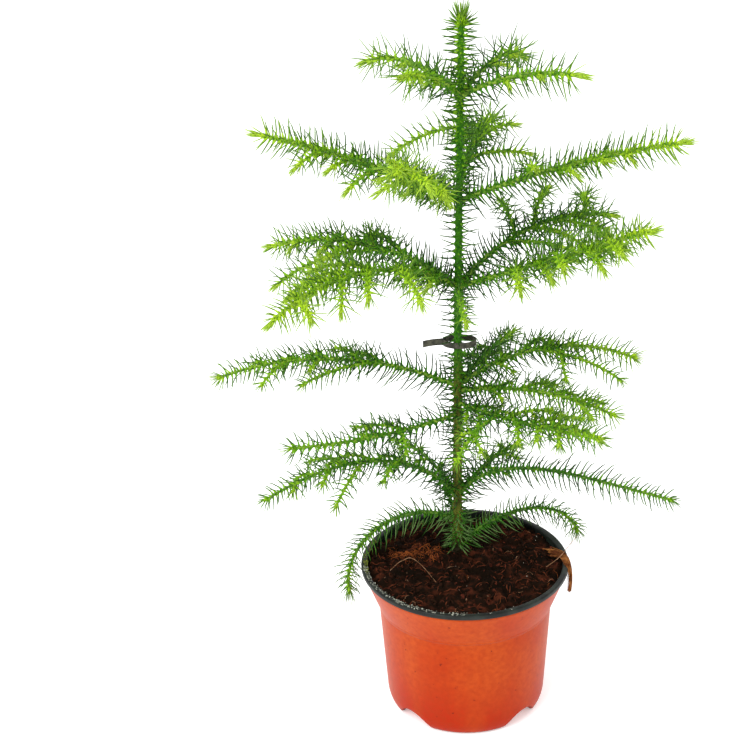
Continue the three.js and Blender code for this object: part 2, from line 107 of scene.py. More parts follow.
# %% Floor and light
FLOOR_HALF = 8.0
FLOOR_WHITE = (0.95, 0.95, 0.95, 1)
FLOOR_ROUGHNESS = 0.9
FLOOR_GLOW = 0.3
WORLD_STRENGTH = 1.14
# name, place and width in metres, and power in watts
SOFT_BOXES = [
    ("key", (-1.0, -1.25, 1.6), 1.3, 31),
    ("fill", (1.5, -0.8, 1.1), 1.2, 3),
]
LIGHT_AIM = (0, 0, 0.2)


def soft_box(name, place, size, power):
    """A square area light at a place in metres, turned so that its -Z looks at the plant."""
    light = bpy.data.lights.new(name, "AREA")
    light.size = size
    light.energy = power
    lamp = bpy.data.objects.new(name, light)
    lamp.location = place
    lamp.rotation_euler = (Vector(LIGHT_AIM) - Vector(place)).to_track_quat("-Z", "Y").to_euler()
    bpy.context.scene.collection.objects.link(lamp)


world = bpy.data.worlds.new("white_room")
world.use_nodes = True
world.node_tree.nodes["Background"].inputs["Color"].default_value = (1, 1, 1, 1)
world.node_tree.nodes["Background"].inputs["Strength"].default_value = WORLD_STRENGTH
bpy.context.scene.world = world
bpy.context.scene.view_settings.view_transform = "Standard"
for box in SOFT_BOXES:
    soft_box(*box)

floor_mesh = bpy.data.meshes.new("floor")
floor_corners = np.array([(-1, -1, 0), (1, -1, 0), (1, 1, 0), (-1, 1, 0)]) * FLOOR_HALF
floor_mesh.from_pydata(floor_corners.tolist(), [], [(0, 1, 2, 3)])
floor = bpy.data.objects.new("floor", floor_mesh)
bpy.context.scene.collection.objects.link(floor)
floor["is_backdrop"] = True
floor_paint = bpy.data.materials.new("floor_white")
floor_paint.use_nodes = True
floor_shader = floor_paint.node_tree.nodes["Principled BSDF"]
floor_shader.inputs["Base Color"].default_value = FLOOR_WHITE
floor_shader.inputs["Roughness"].default_value = FLOOR_ROUGHNESS
floor_shader.inputs["Emission Color"].default_value = (1, 1, 1, 1)
floor_shader.inputs["Emission Strength"].default_value = FLOOR_GLOW
floor_mesh.materials.append(floor_paint)
print("light: world", WORLD_STRENGTH, "and", len(SOFT_BOXES), "soft boxes")

# %% [markdown]
# ## From arrays to a mesh
# Every piece below is a table of points and tables of corner numbers. Adding vertices one by one is
# slow, so foreach_set copies whole arrays. Sizes are in millimetres up to this step, which turns
# them into metres, and each piece rides on the plant's one body.

# %% Mesh from arrays
def new_piece(name, points, faces, material, slot, nodes=(), smooth=True):
    """A mesh object from points in millimetres and arrays of faces, one array per corner count."""
    counts = np.concatenate([np.full(len(face), face.shape[1]) for face in faces])
    corners = np.concatenate([face.ravel() for face in faces]).astype(np.int32)
    mesh = bpy.data.meshes.new(name)
    mesh.vertices.add(len(points))
    mesh.vertices.foreach_set("co", (points * MM).astype(np.float32).ravel())
    mesh.loops.add(len(corners))
    mesh.loops.foreach_set("vertex_index", corners)
    mesh.polygons.add(len(counts))
    mesh.polygons.foreach_set("loop_start", (np.cumsum(counts) - counts).astype(np.int32))
    mesh.polygons.foreach_set("use_smooth", np.full(len(counts), smooth))
    mesh.update(calc_edges=True)
    mesh.materials.append(material)
    piece = bpy.data.objects.new(name, mesh)
    bpy.context.scene.collection.objects.link(piece)
    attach(piece, "root")
    if nodes:
        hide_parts(*nodes)
    print(f"{name}: {int((counts - 2).sum())} triangles")


print("pieces: drawn in millimetres, made in metres by", MM)

# %% [markdown]
# ## Grids, turned shapes and tubes
# Almost everything on a plant in a pot is a grid bent into shape. A turned shape is a profile
# carried round the axis, and a tube is a ring carried along a path. Both close their ends with a
# fan of triangles round one point, so that no seam or pole stays open.

# %% Grid helpers
def grid_quads(rows, columns):
    """Corner numbers of a grid whose columns close into a ring: (row, column) to (row + 1, next)."""
    row, column = np.meshgrid(np.arange(rows - 1), np.arange(columns), indexing="ij")
    here = row * columns + column
    beside = row * columns + (column + 1) % columns
    return np.stack([here, beside, beside + columns, here + columns], axis=-1).reshape(-1, 4)


def end_fans(rows, columns):
    """Triangles from the first ring to the point after the grid, and from the last to the next."""
    column = np.arange(columns)
    beside = (column + 1) % columns
    start = np.column_stack([np.full(columns, rows * columns), beside, column])
    last = (rows - 1) * columns
    end = np.column_stack([np.full(columns, rows * columns + 1), last + column, last + beside])
    return np.vstack([start, end])


def closed_faces(rows, columns):
    """The faces of a grid rolled into a tube: its quads, and a fan over each end."""
    return [grid_quads(rows, columns), end_fans(rows, columns)]


def round_rows(radii, heights, columns):
    """A row of points for each radius r and height z: (r cos a, r sin a, z) at each column's angle a."""
    angle = TURN * np.arange(columns) / columns
    grid = np.empty((len(radii), columns, 3))
    grid[..., 0] = radii[:, None] * np.cos(angle)
    grid[..., 1] = radii[:, None] * np.sin(angle)
    grid[..., 2] = heights[:, None]
    return grid


def turned(profile, columns):
    """A profile of (radius, height) rows that starts and ends on the axis, carried round Z."""
    grid = round_rows(*profile[1:-1].T, columns)
    poles = np.array([(0, 0, profile[0, 1]), (0, 0, profile[-1, 1])])
    return np.vstack([grid.reshape(-1, 3), poles]), closed_faces(*grid.shape[:2])


def tube(places, sides, ups, radii):
    """Ring i is places[i] + radius * (cos a * sides[i] + sin a * ups[i]) for the angle a of a column."""
    rows, columns = radii.shape
    angle = TURN * np.arange(columns)[:, None] / columns
    spokes = np.cos(angle) * sides[:, None, :] + np.sin(angle) * ups[:, None, :]
    grid = places[:, None, :] + radii[..., None] * spokes
    points = np.vstack([grid.reshape(-1, 3), places[:1], places[-1:]])
    return points, closed_faces(rows, columns)


def joined(parts):
    """Several (points, faces) pairs as one: each part's corner numbers start after the last part's."""
    offsets = np.cumsum([0] + [len(points) for points, _ in parts[:-1]])
    points = np.vstack([points for points, _ in parts])
    kinds = range(len(parts[0][1]))
    faces = [np.vstack([faces[k] + shift for (_, faces), shift in zip(parts, offsets)]) for k in kinds]
    return points, faces


print("grid helpers: turned shapes, tubes and joins")

# %% [markdown]
# ## Shared finishes
# Nothing here has one even colour: plastic is mottled, soil is flecked and bark is streaked. One node
# group wanders between two colours by noise, and another raises a fine grain as a bump. They read
# Object coordinates, which stay put on the piece. The shader itself stays in each material.

# %% Shared node groups
MOTTLE_DETAIL = 4.0
GRAIN_DETAIL = 3.0
GRAIN_DEPTH = 0.0005


def linear(red, green, blue):
    """A colour as seen on a screen, from 0 to 255, as the light values that Blender mixes: a dark
    tone divided by 12.92, a lighter one ((tone + 0.055) / 1.055) to the power of 2.4."""
    seen = np.array([red, green, blue]) / 255
    light = np.where(seen <= 0.04045, seen / 12.92, ((seen + 0.055) / 1.055) ** 2.4)
    return (*light.tolist(), 1.0)


def new_group(name, inputs, outputs):
    """An empty shader group with named sockets, given as (name, kind, value) and (name, kind)."""
    group = bpy.data.node_groups.new(name, "ShaderNodeTree")
    for label, kind, value in inputs:
        socket = group.interface.new_socket(label, in_out="INPUT", socket_type="NodeSocket" + kind)
        if value is not None:
            socket.default_value = value
    for label, kind in outputs:
        group.interface.new_socket(label, in_out="OUTPUT", socket_type="NodeSocket" + kind)
    return group, group.nodes.new("NodeGroupInput"), group.nodes.new("NodeGroupOutput")


def mottle_group():
    """Color = the first tone mixed to the second by noise that is stretched between two limits."""
    group, given, made = new_group(
        "mottle",
        [("Vector", "Vector", None), ("Scale", "Float", 100.0), ("Low", "Float", 0.4),
         ("High", "Float", 0.6), ("First", "Color", None), ("Second", "Color", None)],
        [("Color", "Color")],
    )
    noise = group.nodes.new("ShaderNodeTexNoise")
    noise.inputs["Detail"].default_value = MOTTLE_DETAIL
    stretch = group.nodes.new("ShaderNodeMapRange")
    mix = group.nodes.new("ShaderNodeMix")
    mix.data_type = "RGBA"
    link = group.links.new
    link(given.outputs["Vector"], noise.inputs["Vector"])
    link(given.outputs["Scale"], noise.inputs["Scale"])
    link(noise.outputs["Fac"], stretch.inputs["Value"])
    link(given.outputs["Low"], stretch.inputs["From Min"])
    link(given.outputs["High"], stretch.inputs["From Max"])
    link(stretch.outputs["Result"], mix.inputs["Factor"])
    link(given.outputs["First"], mix.inputs["A"])
    link(given.outputs["Second"], mix.inputs["B"])
    link(mix.outputs["Result"], made.inputs["Color"])
    return group


def grain_group():
    """Normal = the surface tilted by the slope of fine noise, as a bump of the given depth."""
    group, given, made = new_group(
        "grain",
        [("Vector", "Vector", None), ("Scale", "Float", 400.0), ("Strength", "Float", 0.3)],
        [("Normal", "Vector")],
    )
    noise = group.nodes.new("ShaderNodeTexNoise")
    noise.inputs["Detail"].default_value = GRAIN_DETAIL
    bump = group.nodes.new("ShaderNodeBump")
    bump.inputs["Distance"].default_value = GRAIN_DEPTH
    link = group.links.new
    link(given.outputs["Vector"], noise.inputs["Vector"])
    link(given.outputs["Scale"], noise.inputs["Scale"])
    link(given.outputs["Strength"], bump.inputs["Strength"])
    link(noise.outputs["Fac"], bump.inputs["Height"])
    link(bump.outputs["Normal"], made.inputs["Normal"])
    return group


MOTTLE = mottle_group()
GRAIN = grain_group()
print("shared groups:", MOTTLE.name, "and", GRAIN.name)

# %% [markdown]
# A material is one Principled shader with its roughness and gloss set straight on it. Nodes could be
# wired one by one for each, but the same few moves come back: place a group, mask by height, mix two
# colours. A small class holds these moves, so that each finish below reads like a recipe.

# %% Materials from the shared groups
class Finish:
    """A material being mixed: its shader, its Object coordinates and what has been placed in it."""

    def __init__(self, name, roughness, specular):
        self.material = bpy.data.materials.new(name)
        self.material.use_nodes = True
        self.tree = self.material.node_tree
        self.shader = self.tree.nodes["Principled BSDF"]
        self.shader.inputs["Roughness"].default_value = roughness
        self.shader.inputs["Specular IOR Level"].default_value = specular
        self.place = self.tree.nodes.new("ShaderNodeTexCoord").outputs["Object"]

    def link(self, source, target):
        """Joins an output socket to an input socket."""
        self.tree.links.new(source, target)

    def give(self, target, value):
        """Sets an input to a value, or links it where the value is itself a socket."""
        if isinstance(value, bpy.types.NodeSocket):
            self.link(value, target)
        else:
            target.default_value = value

    def group(self, group, vector=None, **values):
        """Places a shared group and gives it its inputs by name."""
        node = self.tree.nodes.new("ShaderNodeGroup")
        node.node_tree = group
        self.link(vector or self.place, node.inputs["Vector"])
        for label, value in values.items():
            self.give(node.inputs[label], value)
        return node

    def stretched(self, scale):
        """Object coordinates stretched by a factor on each axis, for streaks."""
        mapping = self.tree.nodes.new("ShaderNodeMapping")
        mapping.inputs["Scale"].default_value = scale
        self.link(self.place, mapping.inputs["Vector"])
        return mapping.outputs["Vector"]

    def by_height(self, low, high):
        """A mask that rises smoothly from 0 to 1 between two heights in millimetres."""
        parts = self.tree.nodes.new("ShaderNodeSeparateXYZ")
        self.link(self.place, parts.inputs["Vector"])
        height = self.tree.nodes.new("ShaderNodeMapRange")
        height.interpolation_type = "SMOOTHSTEP"
        height.inputs["From Min"].default_value = low * MM
        height.inputs["From Max"].default_value = high * MM
        self.link(parts.outputs["Z"], height.inputs["Value"])
        return height.outputs["Result"]

    def mixed(self, mask, first, second):
        """The first colour mixed to the second by a mask; each is a colour or a socket."""
        mix = self.tree.nodes.new("ShaderNodeMix")
        mix.data_type = "RGBA"
        self.link(mask, mix.inputs["Factor"])
        self.give(mix.inputs["A"], first)
        self.give(mix.inputs["B"], second)
        return mix.outputs["Result"]

    def colour(self, value):
        """Gives the shader its base colour: a plain colour or a socket."""
        self.give(self.shader.inputs["Base Color"], value)

    def grain(self, scale, strength):
        """Roughens the surface with the shared grain."""
        node = self.group(GRAIN, Scale=scale, Strength=strength)
        self.link(node.outputs["Normal"], self.shader.inputs["Normal"])


def mottled(name, first, second, scale, roughness, specular=0.3, grain=(400, 0.2)):
    """A finish for pieces that need no more: two tones, the scale of their mottle, roughness, gloss,
    and the scale and strength of a grain."""
    finish = Finish(name, roughness, specular)
    tones = finish.group(MOTTLE, Scale=scale, First=first, Second=second)
    finish.colour(tones.outputs["Color"])
    finish.grain(*grain)
    return finish.material


print("finishes: mixed from", len(bpy.data.node_groups), "shared groups")

# %% [markdown]
# ## The pot
# The pot is one thin blown cup: a foot with four arched notches, a sloping wall with a faint collar,
# and a neck that flares out under the lip. A lathe gives the cup. The notches could be cut with
# booleans, but lifting the grid's points to the arch where it is higher keeps one clean skin.

# %% The pot's outline
POT_HEIGHT = 91
RIM_RADIUS = 60
LIP_HEIGHT = 3
LIP_WIDTH = 3.2
LIP_ROUND = 1
COLLAR_DROP = 25
COLLAR_RADIUS = 50.8
COLLAR_STEP = 0.6
SHOULDER_RADIUS = 46.3
FOOT_RADIUS = 41
FOOT_ROUND = 9
FOOT_BULGE = 1
WALL = 1.2
INSET = WALL + COLLAR_STEP
LIP_BOTTOM = POT_HEIGHT - LIP_HEIGHT
COLLAR_HEIGHT = POT_HEIGHT - COLLAR_DROP
WALL_HEIGHTS = (FOOT_ROUND, COLLAR_HEIGHT, LIP_BOTTOM)
NOTCH_INNER_RADIUS = 36
POT_COLUMNS = 288
SEAM = 0.05


def straight(start, end, steps):
    """Points from start up to but not including end: start + share * (end - start)."""
    share = np.arange(steps)[:, None] / steps
    return np.array(start) + share * (np.array(end) - np.array(start))


def rounded(start, corner, end, steps):
    """A quadratic curve from start to end that leans into the corner, without its last point."""
    share = np.arange(steps)[:, None] / steps
    start, corner, end = np.array(start), np.array(corner), np.array(end)
    return (1 - share) ** 2 * start + 2 * share * (1 - share) * corner + share**2 * end


def outer_radius(height):
    """The wall's outer radius: straight from shoulder to collar, then flaring out to the lip."""
    radii = (SHOULDER_RADIUS, COLLAR_RADIUS, RIM_RADIUS - LIP_ROUND)
    return np.interp(height, WALL_HEIGHTS, radii)


def inner_radius(height):
    """The wall's inner radius, straight from the floor's edge to the collar and on to the lip."""
    radii = (SHOULDER_RADIUS - INSET, COLLAR_RADIUS - INSET, RIM_RADIUS - LIP_WIDTH)
    return np.interp(height, WALL_HEIGHTS, radii)


def outer_outline():
    """The outer skin from the axis over the foot, the wall, the collar and the flare to the lip."""
    foot = (FOOT_RADIUS, 0)
    shoulder = (SHOULDER_RADIUS, FOOT_ROUND)
    below = (COLLAR_RADIUS - COLLAR_STEP, COLLAR_HEIGHT)
    above = (COLLAR_RADIUS, COLLAR_HEIGHT + COLLAR_STEP)
    return np.vstack([
        straight((0, 0), (NOTCH_INNER_RADIUS, 0), 6),
        straight((NOTCH_INNER_RADIUS, 0), foot, 10),
        rounded(foot, (SHOULDER_RADIUS - FOOT_BULGE, 0), shoulder, 28),
        straight(shoulder, below, 36),
        rounded(below, (COLLAR_RADIUS, COLLAR_HEIGHT), above, 6),
        straight(above, (RIM_RADIUS - LIP_ROUND, LIP_BOTTOM - SEAM), 14),
    ])


def inner_outline():
    """The cup's inner face from under the lip down the wall and across the floor to the axis."""
    lip = (RIM_RADIUS - LIP_ROUND, LIP_BOTTOM - SEAM)
    mouth = (RIM_RADIUS - LIP_WIDTH, LIP_BOTTOM - SEAM)
    collar = (COLLAR_RADIUS - INSET, COLLAR_HEIGHT)
    floor_edge = (SHOULDER_RADIUS - INSET, FOOT_ROUND)
    return np.vstack([
        straight(lip, mouth, 3),
        straight(mouth, collar, 8),
        straight(collar, floor_edge, 10),
        rounded(floor_edge, (SHOULDER_RADIUS - INSET - FOOT_BULGE, WALL), (FOOT_RADIUS, WALL), 8),
        straight((FOOT_RADIUS, WALL), (0, WALL), 6),
        np.array([(0, WALL)]),
    ])


OUTER_ROWS = len(outer_outline()) - 1
print("pot outline:", OUTER_ROWS, "rows outside,", len(inner_outline()), "inside")

# %% [markdown]
# The notches let water run out under the foot. Each is an arch along one radius. A point of the
# foot that lies under the arch is lifted to it, on the outer skin and, a wall higher, on the inner.

# %% Notches in the foot
NOTCH_HEADINGS = np.radians([-133.5, -43.5, 46.5, 136.5])
NOTCH_WIDTH = 25
NOTCH_HEIGHT = 12.6
NOTCH_SHOULDER = 0.6
NOTCH_EDGE = 0.1
ARCH_STEPS = 41


def arch_height(across, margin):
    """Height of the notch's arch at a distance across it: a cubic curve read back by its width."""
    t = np.linspace(0, 1, ARCH_STEPS)
    half = NOTCH_WIDTH / 2 + margin
    lean = 3 * NOTCH_SHOULDER * ((1 - t) * t**2 - (1 - t) ** 2 * t)
    width = half * (t**3 - (1 - t) ** 3 + lean)
    height = 3 * (NOTCH_HEIGHT + margin) * ((1 - t) ** 2 * t + (1 - t) * t**2)
    return np.interp(across, width, height, left=0, right=0)


def lift_notches(points, margin, from_radius):
    """Each point beyond a radius is at least as high as the arch of the notch it is under."""
    away = np.hypot(points[:, 0], points[:, 1])
    heading = np.arctan2(points[:, 1], points[:, 0])[:, None] - NOTCH_HEADINGS
    across = away[:, None] * np.sin(heading)
    arch = np.where(np.cos(heading) > 0, arch_height(across, margin), 0).max(axis=1)
    lifted = np.where(away > from_radius, np.maximum(points[:, 2], arch), points[:, 2])
    return np.column_stack([points[:, :2], lifted])


pot_profile = np.vstack([outer_outline(), inner_outline()])
pot_points, pot_faces = turned(pot_profile, POT_COLUMNS)
outer_count = OUTER_ROWS * POT_COLUMNS
pot_points[:outer_count] = lift_notches(pot_points[:outer_count], 0, NOTCH_INNER_RADIUS + NOTCH_EDGE)
pot_points[outer_count:] = lift_notches(pot_points[outer_count:], WALL, NOTCH_INNER_RADIUS - WALL)
print("notches:", len(NOTCH_HEADINGS), "arches", NOTCH_WIDTH, "mm wide")

# %% [markdown]
# The plastic is a satin orange-red, paler and pinker in soft patches where the wall is thin or rubbed,
# with a few dark specks of soil. Painted shade makes it redder and darker low down, and a thin dark
# brown line runs along the very edge of the foot. Three sizes of mottle are laid one over the other and a
# fourth, sparse one gives the specks. The gloss and a trace of sheen are the shader's own.

# %% Orange plastic
def orange_plastic():
    """Patches of two oranges, redder and darker towards the foot as painted shade, soft upright paler
    streaks, a fine mottle, sparse dark specks, and a thin dark brown line along the very edge of the foot."""
    finish = Finish("orange_plastic", roughness=0.38, specular=0.08)
    finish.shader.inputs["Sheen Weight"].default_value = 0.02
    finish.shader.inputs["Sheen Roughness"].default_value = 0.3
    patches = finish.group(MOTTLE, Scale=22.0, Low=0.36, High=0.66,
                           First=linear(165, 50, 6), Second=linear(177, 70, 18))
    # painted shade: the wall turns redder and darker towards the foot, where less light reaches it
    above_painted_shade = finish.by_height(low=4, high=50)
    shaded = finish.mixed(above_painted_shade, linear(160, 34, 2), patches.outputs["Color"])
    rubbed = finish.group(MOTTLE, vector=finish.stretched((1, 1, 0.3)), Scale=46.0, Low=0.45, High=0.85,
                          First=shaded, Second=linear(178, 75, 22))
    fine = finish.group(MOTTLE, Scale=360.0, Low=0.32, High=0.95,
                        First=rubbed.outputs["Color"], Second=linear(146, 44, 8))
    specks = finish.group(MOTTLE, Scale=330.0, Low=0.69, High=0.76,
                          First=fine.outputs["Color"], Second=linear(96, 26, 8))
    # a thin dark brown line along the lowest 1.4 mm of the foot
    above_dark_edge = finish.by_height(low=0.1, high=1.4)
    finish.colour(finish.mixed(above_dark_edge, linear(74, 38, 22), specks.outputs["Color"]))
    finish.grain(scale=900.0, strength=0.06)
    return finish.material


new_piece("pot_body", pot_points, pot_faces, orange_plastic(), "pot", ["pot"])

# %% [markdown]
# The lip and the inside of the pot are a dark grey-green layer of the same plastic. It is a ring of
# its own: over the rolled lip, then a short way down the inner wall to below the soil. The ring's
# profile is a closed loop, so the turned grid closes on itself and needs no poles.

# %% Lip and lining
LINING = 0.3
LINING_DEPTH = 8
LIP_COLUMNS = 240


def lip_outline():
    """The lip's rolled section, down the inner wall to the lining's lower edge and back up."""
    top, inner = POT_HEIGHT, RIM_RADIUS - LIP_WIDTH
    low = LIP_BOTTOM - LINING_DEPTH
    foot = inner_radius(low)
    return np.vstack([
        rounded((RIM_RADIUS - LIP_ROUND, LIP_BOTTOM), (RIM_RADIUS, LIP_BOTTOM),
                (RIM_RADIUS, LIP_BOTTOM + LIP_ROUND), 5),
        straight((RIM_RADIUS, LIP_BOTTOM + LIP_ROUND), (RIM_RADIUS, top - LIP_ROUND), 3),
        rounded((RIM_RADIUS, top - LIP_ROUND), (RIM_RADIUS, top), (RIM_RADIUS - LIP_ROUND, top), 6),
        straight((RIM_RADIUS - LIP_ROUND, top), (inner + LIP_ROUND, top), 4),
        rounded((inner + LIP_ROUND, top), (inner, top), (inner - LINING, top - LIP_ROUND), 5),
        straight((inner - LINING, top - LIP_ROUND), (inner - LINING, LIP_BOTTOM), 4),
        straight((inner - LINING, LIP_BOTTOM), (foot - LINING, low), 6),
        straight((foot - LINING, low), (foot - SEAM, low), 1),
        straight((foot - SEAM, low), (inner - SEAM, LIP_BOTTOM), 4),
        straight((inner - SEAM, LIP_BOTTOM), (RIM_RADIUS - LIP_ROUND, LIP_BOTTOM), 4),
    ])


def turned_ring(profile, columns):
    """A closed loop of (radius, height) rows carried round Z: the grid closes both ways."""
    grid = round_rows(*np.vstack([profile, profile[:1]]).T, columns)
    quads = grid_quads(*grid.shape[:2]) % (len(profile) * columns)
    return grid[:-1].reshape(-1, 3), [quads]


dark_plastic = mottled("dark_plastic", linear(14, 17, 15), linear(32, 38, 33), scale=120.0,
                       roughness=0.4, specular=0.2, grain=(700, 0.12))
new_piece("pot_lip", *turned_ring(lip_outline(), LIP_COLUMNS), dark_plastic, "pot")

# %% [markdown]
# ## The soil
# The soil is a low heap of dark peat and coir: crumbs of all sizes with fibres lying in it. A flat
# disc with a bump map looks painted from the side, so the crumbs are real relief. Value noise makes
# the hollows, and round domes strewn over cells make the crumbs.

# %% Soil relief
SOIL_EDGE_HEIGHT = 88
SOIL_CROWN_HEIGHT = 90.4
SOIL_CROWN_RADIUS = 21
SOIL_RADIUS = 56.3
SOIL_FIELD = 70
# for each size of cell: how deep its hollows are, and by which share of a dome its crumbs rise
HOLLOWS = {14: 2.4, 5: 1.4}
CRUMBS = {6.2: 0.42, 2.4: 0.5}
CRUMB_SETTLE = 1.7
DOME_LEAST = 0.25
DOME_RANGE = 0.55
HEAP_POWER = 1.5
SOIL_SEED = 11
soil_random = np.random.default_rng(SOIL_SEED)


def smoothstep(value):
    """3t^2 - 2t^3 of a value held between 0 and 1."""
    t = np.clip(value, 0, 1)
    return t * t * (3 - 2 * t)


def cell_of(x, y, cell):
    """The number of the square cell each point is in, and how far into it the point is."""
    u, v = (x + SOIL_FIELD) / cell, (y + SOIL_FIELD) / cell
    i, j = np.floor(u).astype(int), np.floor(v).astype(int)
    return i, j, u - i, v - j


def value_noise(x, y, cell, lattice):
    """Smooth noise from 0 to 1: random heights at the corners of square cells, blended by
    3t^2 - 2t^3 across each cell."""
    i, j, s, t = cell_of(x, y, cell)
    s, t = smoothstep(s), smoothstep(t)
    low = lattice[i, j] * (1 - s) + lattice[i + 1, j] * s
    high = lattice[i, j + 1] * (1 - s) + lattice[i + 1, j + 1] * s
    return low * (1 - t) + high * t


def domes(x, y, cell, lattice):
    """Crumbs: one round dome at a random spot in each cell, sqrt(radius^2 - distance^2) high."""
    i, j, s, t = cell_of(x, y, cell)
    highest = np.zeros_like(x)
    for di in (-1, 0, 1):
        for dj in (-1, 0, 1):
            spot = lattice[i + di, j + dj]
            away = np.hypot(s - di - spot[..., 0], t - dj - spot[..., 1])
            reach = DOME_LEAST + DOME_RANGE * spot[..., 2]
            highest = np.maximum(highest, np.sqrt(np.maximum(0, reach**2 - away**2)))
    return cell * highest


def lattice_shape(cell):
    """Cells across the field both ways, with one more corner and one to spare."""
    return (int(2 * SOIL_FIELD / cell) + 2,) * 2


LATTICE = {cell: soil_random.random(lattice_shape(cell)) for cell in HOLLOWS}
SPOTS = {cell: soil_random.random(lattice_shape(cell) + (3,)) for cell in CRUMBS}


def soil_height(x, y):
    """The heap's slope plus hollows of two sizes and crumbs of two sizes."""
    slope = np.clip((np.hypot(x, y) - SOIL_CROWN_RADIUS) / (SOIL_RADIUS - SOIL_CROWN_RADIUS), 0, 1)
    heap = SOIL_CROWN_HEIGHT - (SOIL_CROWN_HEIGHT - SOIL_EDGE_HEIGHT) * slope**HEAP_POWER
    hollows = sum(depth * (value_noise(x, y, cell, LATTICE[cell]) - 0.5) for cell, depth in HOLLOWS.items())
    crumbs = sum(rise * domes(x, y, cell, SPOTS[cell]) for cell, rise in CRUMBS.items())
    return heap + hollows + crumbs - CRUMB_SETTLE


crown = np.linspace(-SOIL_CROWN_RADIUS, SOIL_CROWN_RADIUS)
relief = np.ptp(soil_height(*np.meshgrid(crown, crown)))
print("soil relief:", round(float(relief), 1), "mm from hollow to crumb on the crown")

# %% [markdown]
# The soil fills the pot, though only its top shows. The top is a polar grid, because its rings end
# exactly at the pot's wall, and each point is lifted to the relief there. A few rings more go down the
# wall and across a flat base, so that the piece is one closed body.

# %% Soil surface
SOIL_ROWS = 130
SOIL_COLUMNS = 420
SOIL_BASE = 12
# radius and height of each ring of the hidden body, from below the edge to the base
SOIL_SKIRT = [(SOIL_RADIUS - 1.6, 84), (COLLAR_RADIUS - INSET - 0.7, COLLAR_HEIGHT),
              (43.6, SOIL_BASE + 2), (34, SOIL_BASE), (4, SOIL_BASE)]


def soil_body():
    """A polar grid lifted to the soil's height, then a wall and a flat base inside the cup."""
    away = SOIL_RADIUS * (np.arange(SOIL_ROWS) + 1) / SOIL_ROWS
    top = round_rows(away, np.zeros_like(away), SOIL_COLUMNS)
    top[..., 2] = soil_height(top[..., 0], top[..., 1])
    skirt = round_rows(*np.array(SOIL_SKIRT).T, SOIL_COLUMNS)
    grid = np.concatenate([skirt[::-1], top[::-1]])
    centre = soil_height(np.zeros(1), np.zeros(1))[0]
    points = np.vstack([grid.reshape(-1, 3), [(0, 0, SOIL_BASE)], [(0, 0, centre)]])
    return points, closed_faces(*grid.shape[:2])


def peat():
    """Near-black brown, flecked with red-brown at the size of crumbs, and darker where it is damp."""
    finish = Finish("peat", roughness=0.95, specular=0.05)
    flecks = finish.group(MOTTLE, Scale=170.0, Low=0.48, High=0.75,
                          First=linear(24, 13, 6), Second=linear(88, 42, 26))
    damp = finish.group(MOTTLE, Scale=60.0, Low=0.4, High=0.62,
                        First=flecks.outputs["Color"], Second=linear(16, 9, 4))
    finish.colour(damp.outputs["Color"])
    finish.grain(scale=1500.0, strength=0.7)
    return finish.material


new_piece("soil_surface", *soil_body(), peat(), "soil", ["soil"])

# %% [markdown]
# Loose crumbs and bits of bark lie on the heap. Each is a rough twenty-sided lump. Copying objects
# would be lost in the export, so one lump is turned and scaled by whole arrays and all copies are
# joined into one mesh for each colour.

# %% A rough lump
CHIP_SHAPE = np.array([1.5, 0.85, 0.5])
CORNER_PUSH = (0.65, 1.3)
CHIP_STRETCH = (0.6, 1.25)
GOLDEN_RATIO = (1 + 5**0.5) / 2
LUMP_CORNERS = 12
EDGE_LIMIT = 1.2


def lump_corners():
    """Twelve corners of an icosahedron of radius 1: (0, 1, golden ratio) turned and mirrored."""
    signs = np.array([(0, s, t * GOLDEN_RATIO) for s in (-1, 1) for t in (-1, 1)])
    corners = np.vstack([signs, np.roll(signs, 1, axis=1), np.roll(signs, 2, axis=1)])
    return corners / np.hypot(1, GOLDEN_RATIO)


def lump_faces():
    """The icosahedron's twenty triangles: three corners within an edge's length of each other, each
    triangle turned to face outwards."""
    corners = lump_corners()
    near = np.linalg.norm(corners[:, None] - corners[None], axis=-1) < EDGE_LIMIT
    a, b, c = np.meshgrid(*[np.arange(LUMP_CORNERS)] * 3, indexing="ij")
    found = (a < b) & (b < c) & near[a, b] & near[b, c] & near[a, c]
    faces = np.column_stack([a[found], b[found], c[found]])
    p, q, r = (corners[faces[:, k]] for k in range(3))
    inward = np.einsum("ij,ij->i", np.cross(q - p, r - p), p) < 0
    return np.where(inward[:, None], faces[:, ::-1], faces)


def turns(count, random):
    """Random turns: unit quaternions (w, x, y, z) written out as rotation matrices."""
    w, x, y, z = random.normal(size=(4, count))
    size = np.sqrt(w * w + x * x + y * y + z * z)
    w, x, y, z = w / size, x / size, y / size, z / size
    return np.array([
        [1 - 2 * (y * y + z * z), 2 * (x * y - w * z), 2 * (x * z + w * y)],
        [2 * (x * y + w * z), 1 - 2 * (x * x + z * z), 2 * (y * z - w * x)],
        [2 * (x * z - w * y), 2 * (y * z + w * x), 1 - 2 * (x * x + y * y)],
    ]).transpose(2, 0, 1)


def lumps(places, radii, random):
    """A rough chip at each place: corners pushed in or out by a third, flattened, scaled, turned
    and moved."""
    count = len(places)
    pushed = random.uniform(*CORNER_PUSH, (count, LUMP_CORNERS, 1))
    corners = lump_corners()[None] * pushed * CHIP_SHAPE
    corners = corners * radii[:, None, None] * random.uniform(*CHIP_STRETCH, (count, 1, 3))
    corners = np.einsum("nij,nkj->nki", turns(count, random), corners) + places[:, None, :]
    faces = lump_faces()[None] + LUMP_CORNERS * np.arange(count)[:, None, None]
    return corners.reshape(-1, 3), [faces.reshape(-1, 3)]


print("a lump:", len(lump_corners()), "corners and", len(lump_faces()), "triangles")

# %% [markdown]
# The heap has crumbs of four colours: many dark and damp ones, fewer red-brown ones, and a few tan and
# pale grains. They could be set by hand, but a row of a table for each colour and one seeded generator
# strew them evenly, and most of them stay small because the random sizes are squared.

# %% Loose crumbs
STREWN_RADIUS = SOIL_RADIUS - 1.5
CRUMB_RAISE = 0.2
CRUMB_MOTTLE = 500.0
